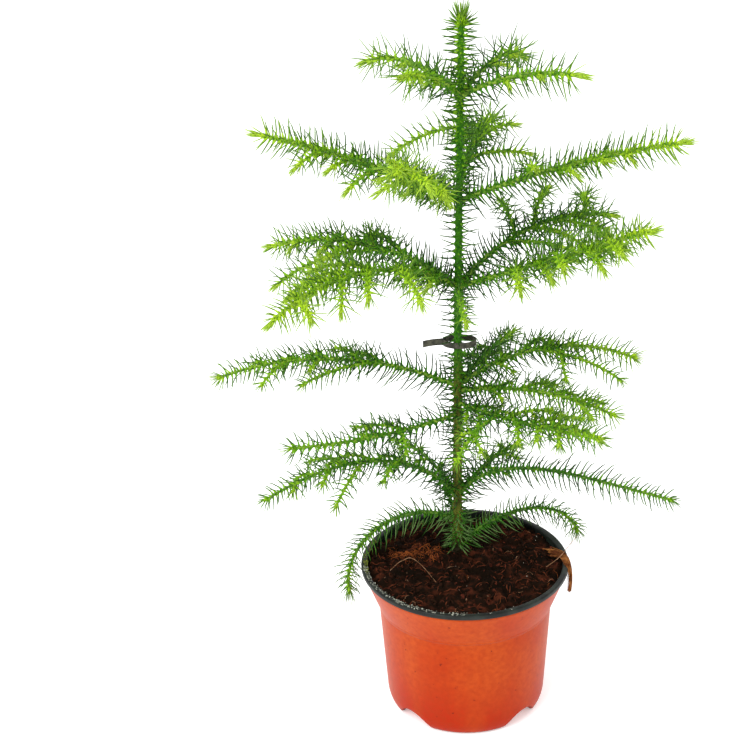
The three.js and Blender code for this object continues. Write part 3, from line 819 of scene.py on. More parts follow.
# piece, count, smallest and largest radius, paint, its two tones, roughness and gloss
CRUMB_KINDS = [
    ("dark", 900, (0.35, 1.7), "damp_crumb", linear(18, 10, 5), linear(40, 22, 13), 0.95, 0.05),
    ("red", 260, (0.25, 1.3), "red_crumb", linear(50, 22, 14), linear(92, 44, 30), 0.95, 0.05),
    ("tan", 40, (0.2, 0.7), "tan_crumb", linear(84, 58, 40), linear(128, 96, 74), 0.9, 0.05),
    ("pale", 14, (0.2, 0.45), "pale_crumb", linear(150, 142, 128), linear(200, 195, 180), 0.8, 0.3),
]


def strewn(count, random):
    """Places spread evenly over the soil's disc, at its height: away = reach * sqrt(random)."""
    away = STREWN_RADIUS * np.sqrt(random.random(count))
    angle = TURN * random.random(count)
    x, y = away * np.cos(angle), away * np.sin(angle)
    return np.column_stack([x, y, soil_height(x, y)])


def crumb_lumps(count, smallest, largest, random):
    """Lumps strewn over the soil, of radius smallest + (largest - smallest) * random^2, and raised
    by a fifth of it."""
    places = strewn(count, random)
    radii = smallest + (largest - smallest) * random.random(count) ** 2
    places[:, 2] += CRUMB_RAISE * radii
    return lumps(places, radii, random)


for kind, count, sizes, paint, first, second, roughness, specular in CRUMB_KINDS:
    material = mottled(paint, first, second, CRUMB_MOTTLE, roughness, specular)
    shape = crumb_lumps(count, *sizes, soil_random)
    new_piece(f"soil_crumbs_{kind}", *shape, material, "soil", smooth=False)

# %% [markdown]
# Coir fibres lie in the peat, curled and half buried, with two loose nests left of the trunk. A fibre
# is a thin tube along a bent line. All lines are worked out at once: a straight run, a sideways bow
# of t - t^2 and a lift off the soil, so that the whole layer is a few array sums.

# %% Fibres as thin tubes
FIBRE_POINTS = 9
FIBRE_SIDES = 4
FIBRE_BOW = 0.6
FIBRE_WAVE = 0.05
FIBRE_RAISE = 0.15
FIBRE_END = 0.45
FIBRE_REACH = SOIL_RADIUS - 0.8
OFF_UPRIGHT = (0.13, 0.21, 0.97)


def unit(vectors):
    """Each vector divided by its length."""
    return vectors / np.linalg.norm(vectors, axis=-1, keepdims=True)


def strands(paths, radii):
    """Thin tubes along many paths at once: at each point a ring in the plane across the path. The
    ring's sides are square to a direction just off upright, along which no path runs."""
    count, rows = paths.shape[:2]
    ahead = unit(np.gradient(paths, axis=1))
    side = unit(np.cross(ahead, OFF_UPRIGHT))
    up = np.cross(ahead, side)
    angle = TURN * np.arange(FIBRE_SIDES)[:, None] / FIBRE_SIDES
    spokes = np.cos(angle) * side[:, :, None, :] + np.sin(angle) * up[:, :, None, :]
    grid = paths[:, :, None, :] + radii[:, :, None, None] * spokes
    one = np.vstack([
        grid_quads(rows, FIBRE_SIDES),
        [np.arange(FIBRE_SIDES)[::-1], (rows - 1) * FIBRE_SIDES + np.arange(FIBRE_SIDES)],
    ])
    faces = one[None] + rows * FIBRE_SIDES * np.arange(count)[:, None, None]
    return grid.reshape(-1, 3), [faces.reshape(-1, 4)]


def lying_fibres(places, length, thickness, lift, random):
    """place + run * (t - 1/2) along a random heading, bowed sideways by t - t^2, following the
    soil with a hump of lift * 4 (t - t^2) and thinning to both ends."""
    count = len(places)
    t = np.linspace(0, 1, FIBRE_POINTS)[None, :]
    run = length[:, None] * random.uniform(0.5, 1.0, (count, 1))
    heading = TURN * random.random((count, 1))
    bow = run * random.normal(0, FIBRE_BOW, (count, 1)) * (t - t**2)
    waves = t * random.uniform(0.8, 1.6, (count, 1)) + random.random((count, 1))
    wave = FIBRE_WAVE * run * np.sin(TURN * waves)
    forward, across = run * (t - 0.5), bow + wave
    x = places[:, :1] + forward * np.cos(heading) - across * np.sin(heading)
    y = places[:, 1:2] + forward * np.sin(heading) + across * np.cos(heading)
    shrink = np.minimum(1, FIBRE_REACH / np.hypot(x, y))
    x, y = x * shrink, y * shrink
    z = soil_height(x, y) + lift[:, None] * 4 * (t - t**2) + FIBRE_RAISE
    radii = thickness[:, None] * (FIBRE_END + (1 - FIBRE_END) * np.sin(np.pi * t))
    return np.stack([x, y, z], axis=-1), radii


print("a fibre:", FIBRE_POINTS, "rings of", FIBRE_SIDES, "points")

# %% [markdown]
# Red-brown fibres lie all over the heap, orange ones in two nests and a few here and there, and pale
# ones singly. A hair system could strew them, but only meshes are exported. So each colour is one
# joined piece, with its own limits of length, thickness and lift.

# %% Coir fibres
COIR_MOTTLE = 300.0
COIR_RED = mottled("coir_red", linear(60, 26, 13), linear(94, 46, 26), COIR_MOTTLE, 0.9, 0.1)
COIR_ORANGE = mottled("coir_orange", linear(96, 46, 18), linear(150, 80, 36), COIR_MOTTLE, 0.85, 0.1)
COIR_PALE = mottled("coir_pale", linear(118, 82, 56), linear(164, 124, 94), COIR_MOTTLE, 0.8, 0.2)
RED_FIBRES = 320
ORANGE_FIBRES = 14
PALE_FIBRES = 16
# centre, spread both ways and number of fibres of each nest
NESTS = [((-22, 11), (5.5, 4.0), 80), ((-36, 9), (5.5, 2.6), 56)]


def fibre_piece(name, places, length, thickness, lift, material, random):
    """Fibres with lengths, thicknesses and lifts drawn between the limits given."""
    count = len(places)
    sizes = [random.uniform(low, high, count) for low, high in (length, thickness, lift)]
    new_piece(name, *strands(*lying_fibres(places, *sizes, random)), material, "soil")


nest = np.vstack([place + soil_random.normal(0, 1, (count, 2)) * spread for place, spread, count in NESTS])
fibre_piece("coir_fibres_red", strewn(RED_FIBRES, soil_random)[:, :2], length=(2.5, 9),
            thickness=(0.12, 0.4), lift=(0.1, 0.5), material=COIR_RED, random=soil_random)
orange_places = np.vstack([nest, strewn(ORANGE_FIBRES, soil_random)[:, :2]])
fibre_piece("coir_fibres_orange", orange_places, length=(3, 9),
            thickness=(0.08, 0.2), lift=(0.1, 0.8), material=COIR_ORANGE, random=soil_random)
fibre_piece("coir_fibres_pale", strewn(PALE_FIBRES, soil_random)[:, :2], length=(4, 10),
            thickness=(0.08, 0.15), lift=(0.2, 0.9), material=COIR_PALE, random=soil_random)

# %% [markdown]
# One pale root fibre arches over the soil at the front left, and a tuft of coir hangs over the
# right of the lip with a straw stuck in it. The eye finds them at once, so their lines are drawn from
# a few listed points and smoothed, and the tuft is fanned out of one such line.

# %% Root fibre and tuft
ROOT_FIBRE = np.array([(-43, -7, 0.3), (-37.5, 0, 1.6), (-31.7, 2.4, 2.2), (-25.8, -4.3, 1.8),
                       (-19.9, -13.2, 0.9), (-15.8, -21.9, 0.2)])
ROOT_FIBRE_RADIUS = 0.26
ROOT_FIBRE_STEPS = 28
ROOT_FIBRE_THINNING = 0.6
GROUND_BLUR = 9
TUFT_LINE = np.array([(50.5, 10, 90.2), (55.5, 5, 91.6), (58.2, -2, 92.1), (59.8, -8, 89.8),
                      (60.6, -11.5, 84), (60.0, -12.8, 77.5)])
TUFT_COUNT = 44
TUFT_STEPS = 14
TUFT_SPREAD = (1.7, 2.4, 0.4)
TUFT_DRIFT = (1.0, 1.8, 0.6)
TUFT_GATHERING = 0.82
TUFT_RADII = (0.16, 0.36)
TUFT_THINNING = 0.6
STRAW = np.array([(47, -6, 89.8), (55, 0, 93), (61.5, 8, 97), (66, 14, 99)])
STRAW_RADIUS = 0.3
STRAW_STEPS = 12
STRAW_THINNING = 0.5


def mirrored_ends(points):
    """The points with one more past each end, where its neighbour is mirrored in the end."""
    return np.vstack([2 * points[0] - points[1], points, 2 * points[-1] - points[-2]])


def curve_through(knots, spans):
    """A smooth curve through the knots at places counted in spans, and twice its slope there. For
    the knots a, b, c, d round a span, with t from 0 to 1 between b and c, it is half of
    2b + (c - a) t + (2a - 5b + 4c - d) t^2 + (3b - a - 3c + d) t^3."""
    step = np.clip(spans.astype(int), 0, len(knots) - 4)
    t = (spans - step)[:, None]
    a, b, c, d = (knots[step + k] for k in range(4))
    first, square, cube = c - a, 2 * a - 5 * b + 4 * c - d, 3 * b - a - 3 * c + d
    curve = 0.5 * (2 * b + first * t + square * t**2 + cube * t**3)
    return curve, first + 2 * square * t + 3 * cube * t**2


def smooth_line(points, steps):
    """Evenly counted places on the curve through the given points."""
    return curve_through(mirrored_ends(points), np.linspace(0, len(points) - 1, steps))[0]


def root_fibre():
    """The listed line, with its heights counted from the soil below it, blurred along the line."""
    line = smooth_line(ROOT_FIBRE, ROOT_FIBRE_STEPS)
    ground = np.pad(soil_height(line[:, 0], line[:, 1]), GROUND_BLUR // 2, mode="edge")
    line[:, 2] += np.convolve(ground, np.full(GROUND_BLUR, 1 / GROUND_BLUR), mode="valid")
    radii = ROOT_FIBRE_RADIUS * (1 - ROOT_FIBRE_THINNING * np.linspace(0, 1, len(line)) ** 2)
    return strands(line[None], radii[None])


def tuft():
    """Copies of one line, spread most where they leave the soil and drawn together to the end."""
    line = smooth_line(TUFT_LINE, TUFT_STEPS)
    t = np.linspace(0, 1, len(line))[None, :, None]
    spread = soil_random.normal(0, 1, (TUFT_COUNT, 1, 3)) * TUFT_SPREAD
    drift = soil_random.normal(0, 1, (TUFT_COUNT, 1, 3)) * TUFT_DRIFT
    paths = line[None] + spread * (1 - TUFT_GATHERING * t**0.7) + drift * (0.5 - t) ** 2
    radii = soil_random.uniform(*TUFT_RADII, (TUFT_COUNT, 1)) * (1 - TUFT_THINNING * t[..., 0] ** 3)
    return strands(paths, radii)


def straw():
    """One stiff stalk along its listed line, thinning to its free end."""
    line = smooth_line(STRAW, STRAW_STEPS)
    radii = STRAW_RADIUS * (1 - STRAW_THINNING * np.linspace(0, 1, STRAW_STEPS))
    return strands(line[None], radii[None])


new_piece("root_fibre", *root_fibre(), COIR_PALE, "soil")
tuft_paint = mottled("coir_tuft", linear(92, 48, 22), linear(156, 100, 52), 220.0, 0.85, 0.1)
new_piece("rim_tuft", *tuft(), tuft_paint, "soil")
new_piece("rim_straw", *straw(), COIR_PALE, "soil")

# %% [markdown]
# Water has left a crust of lime along the front of the lip, thick at the left and thinning to the
# right, and green algae on its left inner edge. They are the same rough lumps, pressed flat on the
# lip and dealt out along its arc.

# %% Crust on the lip
CRUST_CLUMPS = 30
CLUMP_SPREAD = 2.2
CRUST = {"count": 300, "start": -172, "end": -62, "crowd": 1.3, "band": (56.4, 59.2), "sizes": (0.1, 0.48)}
ALGAE = {"count": 150, "start": 158, "end": 196, "crowd": 1.0, "band": (56.2, 58.8), "sizes": (0.15, 0.6)}


def lip_crumbs(random, count, start, end, crowd, band, sizes):
    """Places along an arc of the lip, in clumps that are crowded to its start by a power of the
    share along it."""
    clumps = start + (end - start) * random.random(CRUST_CLUMPS) ** crowd
    angle = np.radians(random.choice(clumps, count) + random.normal(0, CLUMP_SPREAD, count))
    away = random.uniform(*band, count)
    radii = random.uniform(*sizes, count)
    places = np.column_stack([away * np.cos(angle), away * np.sin(angle), np.full(count, POT_HEIGHT)])
    return places, radii


crust_paint = mottled("lime_crust", linear(104, 106, 94), linear(178, 178, 164), 600.0, 0.9)
algae_paint = mottled("algae", linear(70, 80, 22), linear(124, 130, 48), 600.0, 0.9)
crust = lip_crumbs(soil_random, **CRUST)
algae = lip_crumbs(soil_random, **ALGAE)
new_piece("lip_crust", *lumps(*crust, soil_random), crust_paint, "pot", smooth=False)
new_piece("lip_algae", *lumps(*algae, soil_random), algae_paint, "pot", smooth=False)

# %% [markdown]
# ## How the plant grows
# The trunk goes straight up and sends out boughs in tiers. A bough is a line that leaves the trunk
# at some heading and rise and bends as it goes. The lines are stepped out by the same rule and the
# same seed as the solids, so that the needles below grow where their solids are. Some boughs are set
# a few millimetres nearer to the real plant.

# %% Tiers of boughs
Bough = namedtuple("Bough", "side heading turn length rise pairs twig lift bend fresh",
                   defaults=(0, 0, 0, 1, 0.3))
# the height of each tier on the trunk, and its boughs
TIERS = [
    (365, [
        Bough("left", 154, -16, 71, (43, -30), 2, 20, fresh=0.5),
        Bough("front_left", 230, 18, 66, (42, 4), 2, 18, fresh=0.52),
        Bough("right", -11, -6, 70, (32, -8), 2, 20, fresh=0.5),
        Bough("back_right", 48, 18, 73, (40, -34), 2, 20, fresh=0.55),
    ]),
    (307, [
        Bough("left", 178, -4, 116, (26, 11), 4, 36, fresh=0.5),
        Bough("front", 246, 8, 108, (28, 30), 3, 44, fresh=0.64),
        Bough("right", -3, 0, 125, (23, 8), 4, 36, fresh=0.5),
        Bough("back", 84, -12, 104, (27, -10), 3, 58, fresh=0.52),
    ]),
    (257, [
        Bough("back_left", 158, 2, 120, (31, -23), 4, 42, fresh=0.45),
        Bough("front_left", 204, 16, 124, (36, -31), 5, 54, fresh=0.6),
        Bough("front", 270, 9, 59, (17, -10), 1, 20, lift=-2, fresh=0.48),
        Bough("front_right", -29, 9, 123, (25, 23), 5, 46, fresh=0.6),
        Bough("back_right", 40, -9, 117, (37, -21), 4, 52, fresh=0.42),
    ]),
    (196, [
        Bough("left", 178, 1, 140, (26, -22), 5, 42, fresh=0.4),
        Bough("front_left", 220, -12, 110, (1, 10), 4, 42, lift=-17, fresh=0.28),
        Bough("front_right", -50, 12, 106, (6, 9), 4, 44, lift=-10, fresh=0.46),
        Bough("right", -12, 12, 92, (15, -30), 3, 36, lift=-3, fresh=0.4),
        Bough("back_right", 19, -12, 110, (34, -28), 4, 42, fresh=0.4),
        Bough("back", 64, 8, 84, (8, -14), 3, 36, lift=1, fresh=0.32),
    ]),
    (126, [
        Bough("left", 196, -4, 129, (66, -28), 4, 46, lift=-3, bend=1.6, fresh=0.36),
        Bough("right", -6, 4, 138, (84, -16), lift=-6, bend=3.9, fresh=0.3),
        Bough("back_right", 52, 4, 66, (28, -18), 2, 22, fresh=0.3),
        Bough("back_left", 124, 0, 74, (30, -20), 2, 24, fresh=0.3),
    ]),
    (104, [
        Bough("left", 190, 6, 97, (34, -98), lift=6, fresh=0.3),
        Bough("right", 20, 14, 96, (42, -76), lift=-12, bend=0.75, fresh=0.32),
        Bough("back", 102, 0, 56, (34, -20), fresh=0.2),
    ]),
]
print("tiers:", [len(boughs) for _, boughs in TIERS], "boughs from the top")

# %% [markdown]
# A limb could be a curve object drawn by hand, but more than a hundred would be hard to keep alike.
# Here a limb is stepped out as it grows: equal steps, each a little further round and a little flatter
# than the last, with a smooth curve through their joints. Every line tells its place, its direction
# and a level vector to its side at any share of its length.

# %% Lines of trunk and limbs
TRUNK_FOOT = np.array([-4, 14, 90.7])
TRUNK_TIP = np.array([1, 14, 414])
TRUNK_BOW = -0.8
TRUNK_RADIUS = 2.1
TRUNK_TIP_RADIUS = 0.95
TRUNK_FLARE = 1.5
TRUNK_FLARE_HEIGHT = 6
TRUNK_BARK = 0.5
CURVE_STEPS = 24


def direction(heading, rise):
    """Unit vectors of headings and rises in degrees, heading 0 to the right and 90 to the back."""
    heading, rise = np.radians(heading), np.radians(rise)
    return np.column_stack([np.cos(rise) * np.cos(heading), np.cos(rise) * np.sin(heading), np.sin(rise)])


class TrunkLine:
    """A straight lean from foot to tip, moved sideways by bow * sin(pi t)."""

    length = float(np.linalg.norm(TRUNK_TIP - TRUNK_FOOT))

    def at(self, share):
        """Place, tangent and sideways vector at each share of the length."""
        place = TRUNK_FOOT + share[:, None] * (TRUNK_TIP - TRUNK_FOOT)
        place[:, 0] += TRUNK_BOW * np.sin(np.pi * share)
        tangent = np.repeat((TRUNK_TIP - TRUNK_FOOT)[None], len(share), axis=0).astype(float)
        tangent[:, 0] += TRUNK_BOW * np.pi * np.cos(np.pi * share)
        tangent = unit(tangent)
        return place, tangent, unit(np.cross((0, 1, 0), tangent))

    def at_height(self, height):
        """The trunk's place at one height, by the share of the way from foot to tip."""
        return self.at(np.array([(height - TRUNK_FOOT[2]) / (TRUNK_TIP[2] - TRUNK_FOOT[2])]))[0][0]


class LimbLine:
    """Equal steps laid end to end, each along its own heading and rise, with a smooth curve through
    their joints. The rise goes from root to tip as (1 - t) to the power of bend."""

    def __init__(self, root, heading, turn, length, rise, bend=1):
        t = (np.arange(CURVE_STEPS) + 0.5) / CURVE_STEPS
        rises = rise[1] + (rise[0] - rise[1]) * (1 - t) ** bend
        moves = direction(heading + turn * t, rises) * length / CURVE_STEPS
        self.knots = mirrored_ends(np.vstack([root, root + np.cumsum(moves, axis=0)]))
        self.root, self.heading, self.turn, self.length, self.rise = root, heading, turn, length, rise

    def at(self, share):
        """Place, tangent and level sideways vector at each share of the length."""
        place, slope = curve_through(self.knots, share * CURVE_STEPS)
        angle = np.radians(self.heading + self.turn * share)
        side = np.column_stack([-np.sin(angle), np.cos(angle), np.zeros_like(angle)])
        return place, unit(slope), side

    def cut(self, share, lift, swing):
        """The same limb grown to a share of its length, lifted and swung by some degrees."""
        rise = (self.rise[0] + lift, self.rise[1] + lift)
        return LimbLine(self.root, self.heading + swing, self.turn, share * self.length, rise)


def trunk_radius(along):
    """A straight taper with a flare at the foot that dies away as exp(-along / flare height), and
    the depth of the bark, which is full one flare height up."""
    taper = TRUNK_RADIUS + (TRUNK_TIP_RADIUS - TRUNK_RADIUS) * along / TrunkLine.length
    foot = np.exp(-along / TRUNK_FLARE_HEIGHT)
    return taper + TRUNK_FLARE * foot + TRUNK_BARK * (1 - foot)


trunk_line = TrunkLine()
print("trunk:", round(trunk_line.length), "mm long")

# %% [markdown]
# ## Twigs
# Twigs stand in pairs on a bough and shorten to its tip. A seeded generator draws their places,
# lengths and angles in the same order as for the solids. A twig that would come too near to another
# limb, the pot or the tie is left out, which is what keeps the tiers open.

# %% Seeded draws
SEED = 7
WORD = 0xFFFFFFFF
COUNTER_STEP = 0x6D2B79F5


def seeded_random(seed):
    """Repeatable numbers from 0 to 1: a 32-bit counter whose bits are multiplied and mixed."""
    state = seed

    def draw():
        """The next number: the counter goes one step on, and its high bits are folded into the low."""
        nonlocal state
        state = (state + COUNTER_STEP) & WORD
        mixed = ((state ^ (state >> 15)) * (1 | state)) & WORD
        mixed ^= (mixed + ((mixed ^ (mixed >> 7)) * (61 | mixed))) & WORD
        return (mixed ^ (mixed >> 14)) / (WORD + 1)

    return draw


sample = seeded_random(SEED)
print("seed", SEED, "starts with", [round(sample(), 3) for _ in range(3)])

# %% [markdown]
# Whether a twig has room could be tested on meshes, which is slow. Points along every line grown so
# far stand for the plant, and a new twig's points must keep their distance from all that belong to
# other boughs or to twigs beside it. The pot and the tie are simple shapes and need no points.

# %% Room for a twig
TWIG_TESTS = 12
SAMPLE_STEP = 2.5
POT_CLEARANCE = 1.2
TIE_HEIGHT = 221
TIE_BAND = 3.2
TIE_KEEP_OUT = 13
tie_centre = trunk_line.at_height(TIE_HEIGHT)


class Space:
    """Points along every line grown so far, with whose they are and how thick the line is."""

    def __init__(self):
        self.places = np.empty((0, 3))
        self.radii = np.empty(0)
        self.owners = np.empty(0, object)
        self.lines = np.empty(0, object)

    def add(self, line, owner, name, radius):
        """Enters points along a line, evenly spaced by at most the sample step."""
        count = int(np.ceil(line.length / SAMPLE_STEP)) + 1
        self.places = np.vstack([self.places, line.at(np.linspace(0, 1, count))[0]])
        self.radii = np.append(self.radii, np.full(count, radius))
        self.owners = np.append(self.owners, np.full(count, owner, object))
        self.lines = np.append(self.lines, np.full(count, name, object))

    def clear(self, line, owner, siblings, distance):
        """True if the outer three quarters of a line keep their distance from what is there and stay
        out of the pot and the tie."""
        points = line.at(np.linspace(0, 1, TWIG_TESTS + 1))[0][TWIG_TESTS // 4:]
        tested = (self.owners != owner) | np.isin(self.lines, list(siblings))
        gaps = np.linalg.norm(points[:, None] - self.places[None, tested], axis=-1) - self.radii[tested]
        return not keep_out(points).any() and gaps.min(initial=np.inf) > distance


def keep_out(points):
    """True for points in or just off the pot and the tie."""
    in_pot = points[:, 2] < POT_HEIGHT + POT_CLEARANCE
    in_pot &= np.hypot(points[:, 0], points[:, 1]) < RIM_RADIUS + POT_CLEARANCE
    off_tie = points - tie_centre
    in_tie = np.abs(off_tie[:, 2]) < TIE_BAND + POT_CLEARANCE
    in_tie &= np.hypot(off_tie[:, 0], off_tie[:, 1]) < TIE_KEEP_OUT
    return in_pot | in_tie


print("tie round the trunk at", tie_centre.round(1), "mm")

# %% [markdown]
# A twig leaves its bough sideways at a set angle, follows half of the bough's rise and droops to its
# own tip. Pairs are spaced evenly, one side a little ahead of the other, and each number varies by a
# drawn share, so that no two twigs are alike and every run still grows the same plant.

# %% Twig rule
TWIG_ANGLE = 56
TWIG_TURN = 8
TWIG_FOLLOW = 0.5
TWIG_LIFT = 5
TWIG_DROOP = 44
TWIG_FIRST = 0.28
TWIG_LAST = 0.86
TWIG_SHRINK = 0.6
TWIG_SHORTEST = 8
TWIG_STAGGER = 0.4
TWIG_VARIATION = 0.2
PLACE_VARIATION = 0.4
ANGLE_VARIATION = 0.12
DROOP_VARIATION = 0.4


def twig_lines(line, pairs, full_length, shortest, draw, first=TWIG_FIRST, last=TWIG_LAST):
    """Lines of the twigs of one limb, in pairs: the pair number and side, the root's share, the line."""
    def around(share):
        """A factor drawn evenly from 1 - share to 1 + share."""
        return 1 + share * (2 * draw() - 1)

    for pair in range(pairs):
        for sideways in (-1, 1):
            spread = (last - first) / pairs
            stagger = TWIG_STAGGER if sideways > 0 else 0
            share = first + spread * (pair + stagger + PLACE_VARIATION * draw())
            length = max(shortest, full_length * (1 - TWIG_SHRINK * share) * around(TWIG_VARIATION))
            place, tangent, _ = (row[0] for row in line.at(np.array([share])))
            heading = np.degrees(np.arctan2(tangent[1], tangent[0]))
            rise = TWIG_FOLLOW * np.degrees(np.arcsin(tangent[2])) + TWIG_LIFT
            angle = sideways * TWIG_ANGLE * around(ANGLE_VARIATION)
            droop = TWIG_DROOP * around(DROOP_VARIATION)
            grown = LimbLine(place, heading + angle, -sideways * TWIG_TURN, length, (rise, rise - droop))
            yield f"{pair}{'L' if sideways > 0 else 'R'}", share, grown


print("twigs: from", TWIG_FIRST, "to", TWIG_LAST, "of a bough,", TWIG_ANGLE, "degrees off it")

# %% [markdown]
# Drawn twigs are only likely ones. Where the plant shows a twig longer or shorter, higher or lower or
# turned another way, it is named here by its bough, its pair and its side. GROWN_SHARE gives its share
# of the drawn length, with 0 for a twig that is not there. LIFTED and SWUNG give degrees up and round.

# %% Twigs set one by one
GROWN_SHARE = {
    "1_left:0R": 0.4, "1_left:0L": 0.6, "1_left:1R": 0.4, "1_left:1L": 0.4,
    "1_right:0R": 0.5, "1_right:0L": 0.5, "1_right:1R": 0.5, "1_right:1L": 0.4,
    "1_front_left:0L": 0.5, "1_front_left:0R": 0.6, "1_front_left:1L": 0.5, "1_front_left:1R": 0.5,
    "1_back_right:0R": 0.7, "1_back_right:0L": 0.5, "1_back_right:1L": 0.5, "1_back_right:1R": 0.6,
    "2_left:0L": 1.1, "2_left:0R": 0.7, "2_left:1R": 0.75, "2_left:2R": 0.6, "2_left:3R": 0.5,
    "2_right:0R": 1.0, "2_right:1R": 0.75, "2_right:2R": 0.95, "2_right:3R": 0.55,
    "2_right:0L": 0, "2_right:1L": 0.4, "2_right:2L": 0.4, "2_right:3L": 0,
    "2_front:0L": 0.5, "2_front:1L": 0.8, "2_front:0R": 0.6, "2_front:1R": 0.75, "2_front:2R": 0.7,
    "2_back:0L": 0, "2_back:1L": 0.6, "2_back:2L": 1.75, "2_back:0R": 0.78, "2_back:2R": 0,
    "3_front:0L": 0, "3_front:0R": 0,
    "3_back_left:0L": 2.0, "3_back_left:0R": 1.15, "3_back_left:2L": 0.5, "3_back_left:3L": 0.35,
    "3_back_left:2R": 0.6, "3_back_left:3R": 0.5,
    "3_front_left:1L": 0.88, "3_front_left:4L": 0.89, "3_front_left:4R": 0.4,
    "3_front_right:0R": 0.95, "3_front_right:1R": 0.65, "3_front_right:2R": 0.91,
    "3_back_right:0L": 1.25, "3_back_right:1L": 1.22, "3_back_right:2L": 0, "3_back_right:3L": 1.3,
    "4_left:0L": 1.44, "4_left:1L": 0, "4_left:2L": 0.4,
    "4_front_left:0L": 0.88, "4_front_left:1L": 0, "4_front_left:2L": 0, "4_front_left:3L": 0,
    "4_front_left:0R": 0.97, "4_front_left:1R": 0.5, "4_front_left:2R": 0, "4_front_left:3R": 0,
    "4_front_right:0L": 0.82, "4_front_right:1L": 1.2,
    "4_front_right:0R": 1.2, "4_front_right:1R": 0.75, "4_front_right:2R": 0.6, "4_front_right:3R": 0.6,
    "4_right:1L": 0.8,
    "4_back_right:1R": 2.0, "4_back_right:2R": 1.0, "4_back_right:3R": 0,
    "4_back_right:1L": 0.5, "4_back_right:2L": 0.4, "4_back_right:3L": 0,
    "4_back:0R": 0.72, "4_back:2R": 0.8, "4_back:1R": 0, "4_back:1L": 0.6, "4_back:2L": 0,
    "5_left:0L": 0.86, "5_left:1L": 1.17, "5_left:2L": 0.45, "5_left:3L": 0.4,
    "5_left:0R": 0.6, "5_left:3R": 0.6,
    "5_back_left:0L": 0.5, "5_back_left:0R": 0.5, "5_back_left:1L": 0.5, "5_back_left:1R": 0.5,
}
LIFTED = {
    "2_right:0R": 33, "2_right:1R": 12, "2_right:2R": 13, "2_back:0R": 9, "2_back:1R": 24,
    "2_left:0L": 8, "2_front:2R": 10, "2_back:2L": -6, "3_back_left:0L": -12, "3_back_left:0R": 15,
    "3_front_left:0L": 7, "3_front_left:1L": 11, "3_front_left:2L": -4, "3_front_left:4L": 17,
    "3_back_right:0L": 28, "3_back_right:1L": 26, "3_back_right:3L": 20,
    "3_front_right:0R": 7, "3_front_right:2R": 17,
    "4_left:0L": -6, "4_left:1R": 8, "4_front_left:0L": 12,
    "4_front_right:0L": 29, "4_front_right:1L": 4, "4_front_right:1R": 6, "4_front_right:2R": 6,
    "4_back_right:0L": -7, "4_back_right:1R": -4, "4_back_right:2R": -6, "4_back:2R": 30, "4_back:0R": 7,
    "5_left:0L": 17, "5_left:1L": -9,
}
SWUNG = {
    "2_right:0R": -22, "2_back:0R": -18, "2_back:1R": 21, "2_back:2L": 36,
    "3_back_left:0L": -52, "3_back_left:0R": 14,
    "3_front_left:0L": 26, "3_front_left:1L": 15, "3_front_left:2L": 11,
    "3_front_left:4L": 15, "3_back_right:0L": 20, "3_back_right:1L": -7,
    "3_front_right:0R": -16, "3_front_right:2R": -11, "3_front_right:3R": 8,
    "4_left:0L": -45, "4_front_left:0L": 18, "4_front_right:0L": -22, "4_front_right:0R": -25,
    "4_back_right:0L": -6, "4_back_right:1R": 25, "4_back_right:2R": -44, "4_back:2R": 25, "4_back:0R": 42,
    "5_left:0L": 6,
}


def fitted(twig):
    """The twig grown to its share of the drawn length, lifted and swung."""
    name = twig.name
    line = twig.line.cut(GROWN_SHARE.get(name, 1), LIFTED.get(name, 0), SWUNG.get(name, 0))
    return twig._replace(line=line)


print("set one by one:", len(GROWN_SHARE), "shares,", len(LIFTED), "lifts,", len(SWUNG), "swings")

# %% [markdown]
# Now the plant grows. All boughs come first, because a twig has to keep clear of boughs above and
# below it. Then each bough draws its twigs in turn, and those that find room join the crowd at once.
# A shoot of any kind is one record, whose order says what it is: trunk, bough, twig or finer twig.

# %% Growing boughs and twigs
STEM_RADIUS = 1
STEM_TIP_RADIUS = 0.55
TWIG_RADIUS = 0.75
TWIG_CLEARANCE = 6
TRUNK, BOUGH, TWIG, FINE_TWIG = range(4)
Shoot = namedtuple("Shoot", "line name owner order place fresh root_radius tip_radius tier")
space = Space()


def grown_on(parent, lines, order, radius, clearance, label=""):
    """Those of the lines that have room, as shoots of a parent. A shoot's place is how far out its
    root is: the parent's place plus its share of the way that is left."""
    grown, siblings = [], set()
    for place, share, line in lines:
        name = f"{parent.name}:{label}{place}"
        if space.clear(line, parent.owner, siblings, clearance):
            space.add(line, parent.owner, name, radius)
            siblings.add(name)
            reach = parent.place + (1 - parent.place) * share
            shoot = parent._replace(line=line, name=name, order=order, place=reach, root_radius=radius)
            grown.append(shoot)
    return grown


boughs = []
for number, (height, tier) in enumerate(TIERS, start=1):
    for bough in tier:
        root = trunk_line.at_height(height + bough.lift)
        line = LimbLine(root, bough.heading, bough.turn, bough.length, bough.rise, bough.bend)
        owner = f"{number}_{bough.side}"
        space.add(line, owner, owner, STEM_RADIUS)
        shoot = Shoot(line, owner, owner, BOUGH, 0, bough.fresh, STEM_RADIUS, STEM_TIP_RADIUS, number)
        boughs.append((bough, shoot))
space.add(trunk_line, "trunk", "trunk", TRUNK_RADIUS)

draw = seeded_random(SEED)
twigs = []
for bough, shoot in boughs:
    lines = twig_lines(shoot.line, bough.pairs, bough.twig, TWIG_SHORTEST, draw)
    twigs += grown_on(shoot, lines, TWIG, TWIG_RADIUS, TWIG_CLEARANCE)
twigs = [fitted(twig) for twig in twigs if GROWN_SHARE.get(twig.name, 1)]
print("grown:", len(boughs), "boughs and", len(twigs), "twigs")

# %% [markdown]
# Three boughs of the real plant carry the rule one step further: their longer twigs bear short side
# shoots of their own. Four boughs also have short twigs close to the trunk. Both are drawn with a
# second seed, so that the first draws stay as they are, and keep a smaller distance, being thinner.

